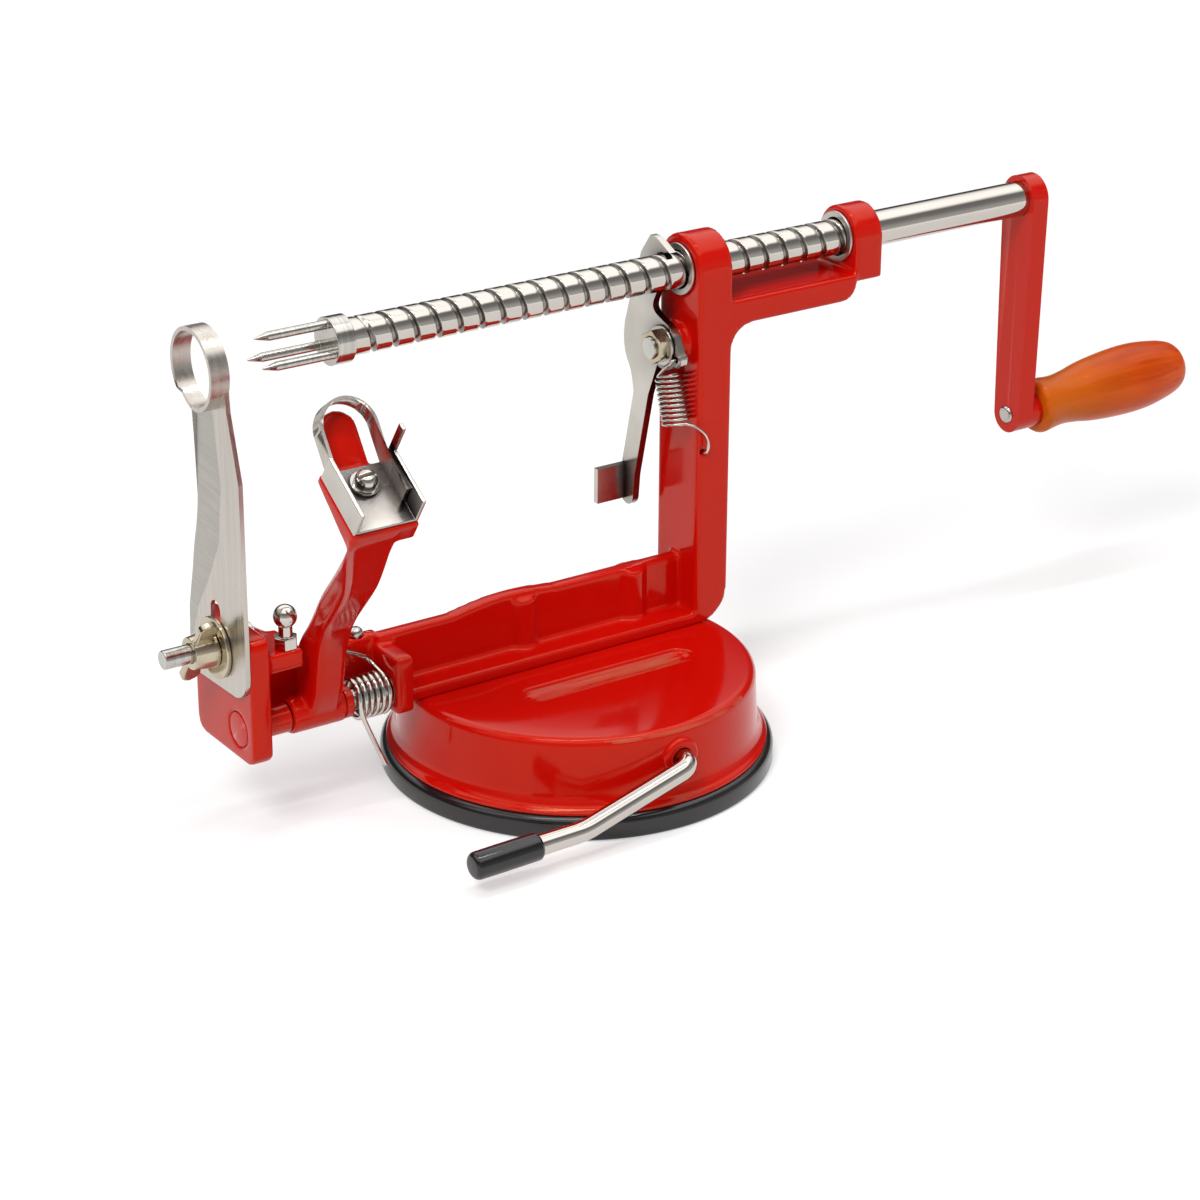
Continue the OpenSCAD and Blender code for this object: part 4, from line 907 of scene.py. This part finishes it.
# %% Groove of the screw
SHAFT_Y, SHAFT_Z, SHAFT_R, PITCH = 12.0, 125.0, 4.9, 6.35
THREAD_FROM, THREAD_TO, SHAFT_END, RUN_OUT = -61.0, 104.3, 159.9, 2
GROOVE_W, GROOVE_D, RELEASE_X, TOOTH_ANGLE = 1.9, 0.9, 36.0, math.radians(-18)
STEPS, FADE_TURNS = 40, 0.5
# Each step across the groove is a distance along the shaft and a share of the depth.
ACROSS = [(0, 0), (0.10, 0.06), (0.22, 0.30), (0.55, 0.88), (0.95, 1.0), (1.35, 0.88),
          (1.68, 0.30), (1.80, 0.06), (1.9, 0), (2.6, 0), (4.2, 0), (5.7, 0)]
DARKER_ROWS = range(1, 7)
first_x = THREAD_FROM + RUN_OUT
phase = (first_x - RELEASE_X + GROOVE_W / 2) / PITCH * 2 * math.pi + TOOTH_ANGLE
total = int((THREAD_TO - RUN_OUT - GROOVE_W - first_x) / PITCH) * STEPS


def on_shaft(x, radius, k):
    """A point of the shaft, a number of steps round its axis."""
    a = phase + 2 * math.pi * k / STEPS
    return (x, SHAFT_Y + radius * math.cos(a), SHAFT_Z + radius * math.sin(a))


points, faces, grooved = [], [], []
for k in range(total + STEPS + 1):
    fade = max(0.0, min(1.0, k / STEPS / FADE_TURNS, (total - k) / STEPS / FADE_TURNS))
    for s, d in ACROSS:
        points.append(on_shaft(first_x + PITCH * k / STEPS + s, SHAFT_R - GROOVE_D * d * fade, k))
row = len(ACROSS)
for k in range(total + STEPS):
    here, there = k * row, (k + 1) * row
    for j in range(row - 1):
        if j in DARKER_ROWS and STEPS // 4 < k < total - STEPS // 4:
            grooved.append(len(faces))
        faces.append((here + j, here + j + 1, there + j + 1, there + j))
    if k < total:
        turn_on = (k + STEPS) * row
        faces.append((here + row - 1, turn_on, turn_on + row, there + row - 1))
print("groove:", total / STEPS, "turns")

# %% Ends of the shaft
SPIGOT_R, SPIGOT_L, CHAMFER = 3.0, 4, 0.6
start = len(points)
for x, r in ((THREAD_FROM, SHAFT_R), (THREAD_FROM, SPIGOT_R), (THREAD_FROM - SPIGOT_L, SPIGOT_R)):
    points += [on_shaft(x, r, k) for k in range(STEPS)]
for k in range(STEPS - 1):
    faces.append((start + k, start + k + 1, (k + 1) * row, k * row))
faces.append((start + STEPS - 1, start, *range(row), STEPS * row, (STEPS - 1) * row))
end = len(points)
for x, r in ((SHAFT_END - CHAMFER, SHAFT_R), (SHAFT_END, SHAFT_R - CHAMFER)):
    points += [on_shaft(x, r, total + k) for k in range(STEPS)]
last = [(total + k) * row + row - 1 for k in range(STEPS + 1)]
for k in range(STEPS - 1):
    faces.append((last[k], end + k, end + k + 1, last[k + 1]))
seam = [(total + STEPS) * row + j for j in range(row)]
faces.append((last[STEPS - 1], end + STEPS - 1, end, last[0], *seam))
for lower in (start, start + STEPS, end):
    bridge(faces, lower, lower + STEPS, STEPS)
for lower in (start + 2 * STEPS, end + STEPS):
    faces.append(tuple(range(lower, lower + STEPS)))
screw = dress(mesh_from("feed_screw", points, faces), "spindle", "chrome", "shaft")
# The faces inside the groove get the darker steel.
screw.data.materials.append(dark_groove_steel)
for index in grooved:
    screw.data.polygons[index].material_index = 1

# %% [markdown]
# ## Bushes, fork and crank pin
# Machined pieces keep the faces of their solids and only need their edges broken. The pin
# of the handle is riveted over on the crank's face, so its end is a low dome.

# %% Machined pieces on the shaft
machined("front_bush", "column_bush", "frame", "steel", 0.25, finish=sintered_steel)
machined("rear_bush", "lug_bush", "drive_bush", "steel", 0.25, finish=sintered_steel)
machined("fork", "feed_fork", "spindle", "steel", 0.2, finish=turned_steel)
PIN_FOOT, PIN_R, PIN_L = Vector((156.0, SHAFT_Y, 60.6)), 2.5, 51.5
PIN_LEAN, DOME_H = math.radians(2.5), 0.9
pin_axis = Vector((math.cos(PIN_LEAN), 0, math.sin(PIN_LEAN)))
pin = [Vector((0, -DOME_H))]
pin += fillet([(0.8, -DOME_H), (2.2, -0.7, 0.6), (PIN_R, -0.1, 0.4), (PIN_R, PIN_L, 0.3),
               (0, PIN_L)])
pin = turned("grip_pin", pin, PIN_FOOT, pin_axis, 40)
dress(pin, "spindle", "steel", "handle_pin", finish=turned_steel)

# %% [markdown]
# ## Wooden grip
# The grip is turned: a rim at the crank, a waist, a belly and a blunt round end. The grain
# runs along it because the streak effect is stretched along X.

# %% Grip
GRIP_OFF, GRIP_L, GRIP_R = 9.6, 55.0, 10.0
GRIP_BORE, BORE_END = PIN_R + 0.06, GRIP_L * 0.8
# Each point is a share of the greatest radius and a share of the length.
SHAPE = [(0.68, 0.0), (0.74, 0.006), (0.795, 0.024), (0.79, 0.05), (0.73, 0.15), (0.775, 0.25),
         (0.885, 0.36), (0.965, 0.5), (1.0, 0.64), (0.975, 0.75), (0.895, 0.85), (0.825, 0.91),
         (0.73, 0.958), (0.60, 0.986), (0.42, 0.998), (0.0, 1.0)]
profile = [(0, BORE_END), (GRIP_BORE, BORE_END), (GRIP_BORE, 0.0)]
profile += [(max(p.x * GRIP_R, 0), p.y * GRIP_L) for p in through(SHAPE, 6)]
profile[-1] = (0, GRIP_L)
grip = turned("wooden_grip", profile, PIN_FOOT + GRIP_OFF * pin_axis, pin_axis, 80)
dress(grip, "grip", "lacquered_wood", "handle_grip")

# %% [markdown]
# ## Stampings
# The release lever, the clamp and the blades are cut from sheet. A bevel of a few tenths
# of a millimetre catches the light along their outlines, as a tumbled stamping does.

# %% Sheet metal
machined("release_lever", "release_plate", "release_lever", "chrome", 0.35, finish=nickel)
machined("blade_clamp", "clamp_channel", "peel_arm", "chrome", 0.25, finish=channel_nickel_deep_shade)
machined("peeling_blade", "peeling_strip", "peel_arm", "steel", 0.12, segments=2)

# %% [markdown]
# ## Slicing blade
# The blade's far edge is ground thin, which shows as a darker band along it. The copy of the
# flat plate is cut along a line beside that edge, and the front points beyond the line are
# moved back in proportion to their distance from it.

# %% Ground slicing blade
GRIND = [(24.6, 50.0), (21.0, 59.0), (14.5, 69.0), (8.6, 80.0), (6.2, 96.0), (9.6, 118.0)]
GRIND_SLOPE, GRIND_MOST, FRONT_X, NEARLY = 0.09, 0.85, -99.8, 0.05
GRIND_LOW, GRIND_HIGH, GRIND_RUN = GRIND[0][1], GRIND[-1][1], 6


def past_line(y, z):
    """How far a point lies beyond the line; below its foot the line goes straight down."""
    return y - at_level(GRIND, max(z, GRIND_LOW))


plate = solid_copy("slicing_blade", "slicing_plate")
work = bmesh.new()
work.from_mesh(plate.data)
for (ya, za), (yb, zb) in zip(GRIND, GRIND[1:]):
    front = [f for f in work.faces if f.normal.x < -0.9
             and abs(f.calc_center_median().x / MM - FRONT_X) < NEARLY]
    flat = [*front, *{e for f in front for e in f.edges}, *{v for f in front for v in f.verts}]
    bmesh.ops.bisect_plane(work, geom=flat, dist=1e-7, plane_co=Vector((0, ya, za)) * MM,
                           plane_no=Vector((0, zb - za, ya - yb)).normalized())
for vert in work.verts:
    x, y, z = vert.co / MM
    beyond = past_line(y, z)
    if x < FRONT_X + NEARLY and GRIND_LOW - GRIND_RUN < z < GRIND_HIGH and beyond > 0:
        vert.co.x += min(GRIND_SLOPE * beyond, GRIND_MOST) * MM
work.to_mesh(plate.data)
work.free()
plate.data.shade_smooth()
plate.data.set_sharp_from_angle(angle=math.radians(7))
dress(plate, "slicer", "steel", "slicing_blade")
plate.data.materials.append(ground_steel)
for face in plate.data.polygons:
    x, y, z = face.center / MM
    level = GRIND_LOW - GRIND_RUN < z < GRIND_HIGH
    if face.normal.x < -0.5 and level and past_line(y, z) > 0:
        face.material_index = 1

# %% [markdown]
# ## Fasteners
# Screws, nuts, washers and pins differ only in their solids, bodies and bevels, so one loop
# makes them all. The pin of the arm was painted over with the frame: its head gets a thin red
# dome of its own, because a second colour on the steel pin would need a cut at the plate.

# %% Screws, nuts, pins and posts
SMALL = [
    ("release_bolt", "lever_bolt", "frame", "steel", 0.3),
    ("release_washer", "lever_washer", "frame", "steel", 0.2),
    ("release_nut", "lever_nut", "frame", "zinc_plate", 0.45),
    ("blade_bolt", "plate_bolt", "frame", "steel", 0.35),
    ("blade_washer", "plate_washer", "frame", "zinc_plate", 0.25),
    ("arm_pin", "pivot_pin", "frame", "steel", 0.35),
    ("pin_sleeve", "pivot_sleeve", "frame", "red_paint", 0.3),
    ("pin_collar", "pivot_collar", "frame", "red_paint", 0.25),
    ("clamp_screw", "clamp_dome_screw", "peel_arm", "chrome", 0.15),
    ("latch_post", "ball_post", "frame", "chrome", 0.2),
    ("stop_screw", "web_screw", "frame", "steel", 0.15),
    ("frame_screws", "foot_screws", "frame", "steel", 0.2),
    ("suction_stud", "lift_stud", "suction_stud", "steel", 0.3),
]
for node, name, body, slot, rim in SMALL:
    machined(node, name, body, slot, rim, segments=2,
             finish=turned_steel if slot == "steel" else None)

# %% Painted head of the pivot pin
PLATE_X, HEAD_R, HEAD_GAP, HEAD_H = -98.5, 4.7, 0.1, 1.0
head = fillet([(0, HEAD_GAP), (HEAD_R - 0.1, HEAD_GAP, 0.5), (HEAD_R, HEAD_H)], 4)
head = [(max(p.x, 0), p.y) for p in head] + [(0, HEAD_H)]
head = turned("pin_head", head, (PLATE_X, PIN_Y, PIN_Z), (1, 0, 0), 48)
dress(head, "frame", "red_paint")

# %% [markdown]
# ## Springs
# Both springs are wound wire. The release spring pulls between the column and the lever.
# The arm's spring winds round the pivot pin.

# %% Release lever's spring
COIL_STEPS = 28


def coil(start, end, radius, turns, hint, begin):
    """Points of a helix between two points of its axis."""
    start, end = Vector(start), Vector(end)
    w = (end - start).normalized()
    u = Vector(hint) - Vector(hint).dot(w) * w
    u.normalize()
    v = w.cross(u)
    count = round(abs(turns) * COIL_STEPS)
    made = []
    for i in range(count + 1):
        t = i / count
        a = math.radians(begin) + 2 * math.pi * turns * t
        made.append(start + t * (end - start) + radius * (u * math.cos(a) + v * math.sin(a)))
    return made


EAR, HOLE, RELEASE_WIRE = (5.8, 102.4), Vector((42.0, 2.6, 76.0)), 0.85
top_hook = [(RELEASE_X + 2.4, *EAR), (RELEASE_X - 1.6, *EAR),
            (RELEASE_X - 2.6, EAR[0] + 0.1, EAR[1] - 0.3),
            (RELEASE_X - 3.2, EAR[0] + 0.4, EAR[1] - 1.2), (RELEASE_X - 3.55, 8.2, 99.2)]
winding = coil((RELEASE_X, 10.6, 96.8), (RELEASE_X, 6.8, 84.0), 3.5, -10.25, (1, 0, 0), 180)
low_hook = [HOLE + Vector(p) for p in
            ((-3.4, -0.6, 8.2), (-1.2, -1.4, 6.3), (0.2, -1.5, 3.9), (0.5, -1.5, 1.9),
             (0.2, -1.3, 0.6), (0, -0.6, 0), (0, 2, 0))]


def joined(before, winding, after):
    """One path through a leg, the winding and the other leg."""
    return (through([*before, winding[0]], 5)[:-1] + winding
            + through([winding[-1], *after], 5)[1:])


route = joined(top_hook, winding, low_hook)
spring = wire("release_coil", route, RELEASE_WIRE, 12)
spring.data.materials.append(chrome)
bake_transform(spring)
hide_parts("release_spring")
print("release spring wire:", len(route), "points")

# %% Arm's spring
ARM_WIRE, ARM_TURNS, ARM_COIL_R, COLLAR_W, COIL_GAP = 1.3, 5.25, 5.3, 2.2, 0.45
COIL_X = HUB_TO + 0.2 + COLLAR_W + ARM_WIRE / 2 + 0.3
COIL_END = COIL_X + ARM_TURNS * (ARM_WIRE + COIL_GAP)
lower_leg = [(COIL_X + 5.2, PIN_Y - 8.2, PIN_Z - 16.5), (COIL_X + 3.6, PIN_Y - 7.8, PIN_Z - 12.5),
             (COIL_X + 0.5, PIN_Y - 6.1, PIN_Z - 3.6)]
winding = coil((COIL_X, PIN_Y, PIN_Z), (COIL_END, PIN_Y, PIN_Z), ARM_COIL_R, -ARM_TURNS,
               (0, 0, 1), 90)
upper_leg = [(COIL_END - 0.4, PIN_Y + 3.6, PIN_Z + 6.4), (COIL_END - 2.6, PIN_Y + 5, PIN_Z + 8.8),
             (BAR_RIGHT + 2.4, PIN_Y + 3.4, PIN_Z + 13.6),
             (BAR_RIGHT + 1.2, PIN_Y + 3.3, PIN_Z + 14)]
route = joined(lower_leg, winding, upper_leg)
spring = wire("arm_coil", route, ARM_WIRE, 16)
spring.data.materials.append(chrome)
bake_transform(spring)
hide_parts("arm_spring")
print("arm spring wire:", len(route), "points")
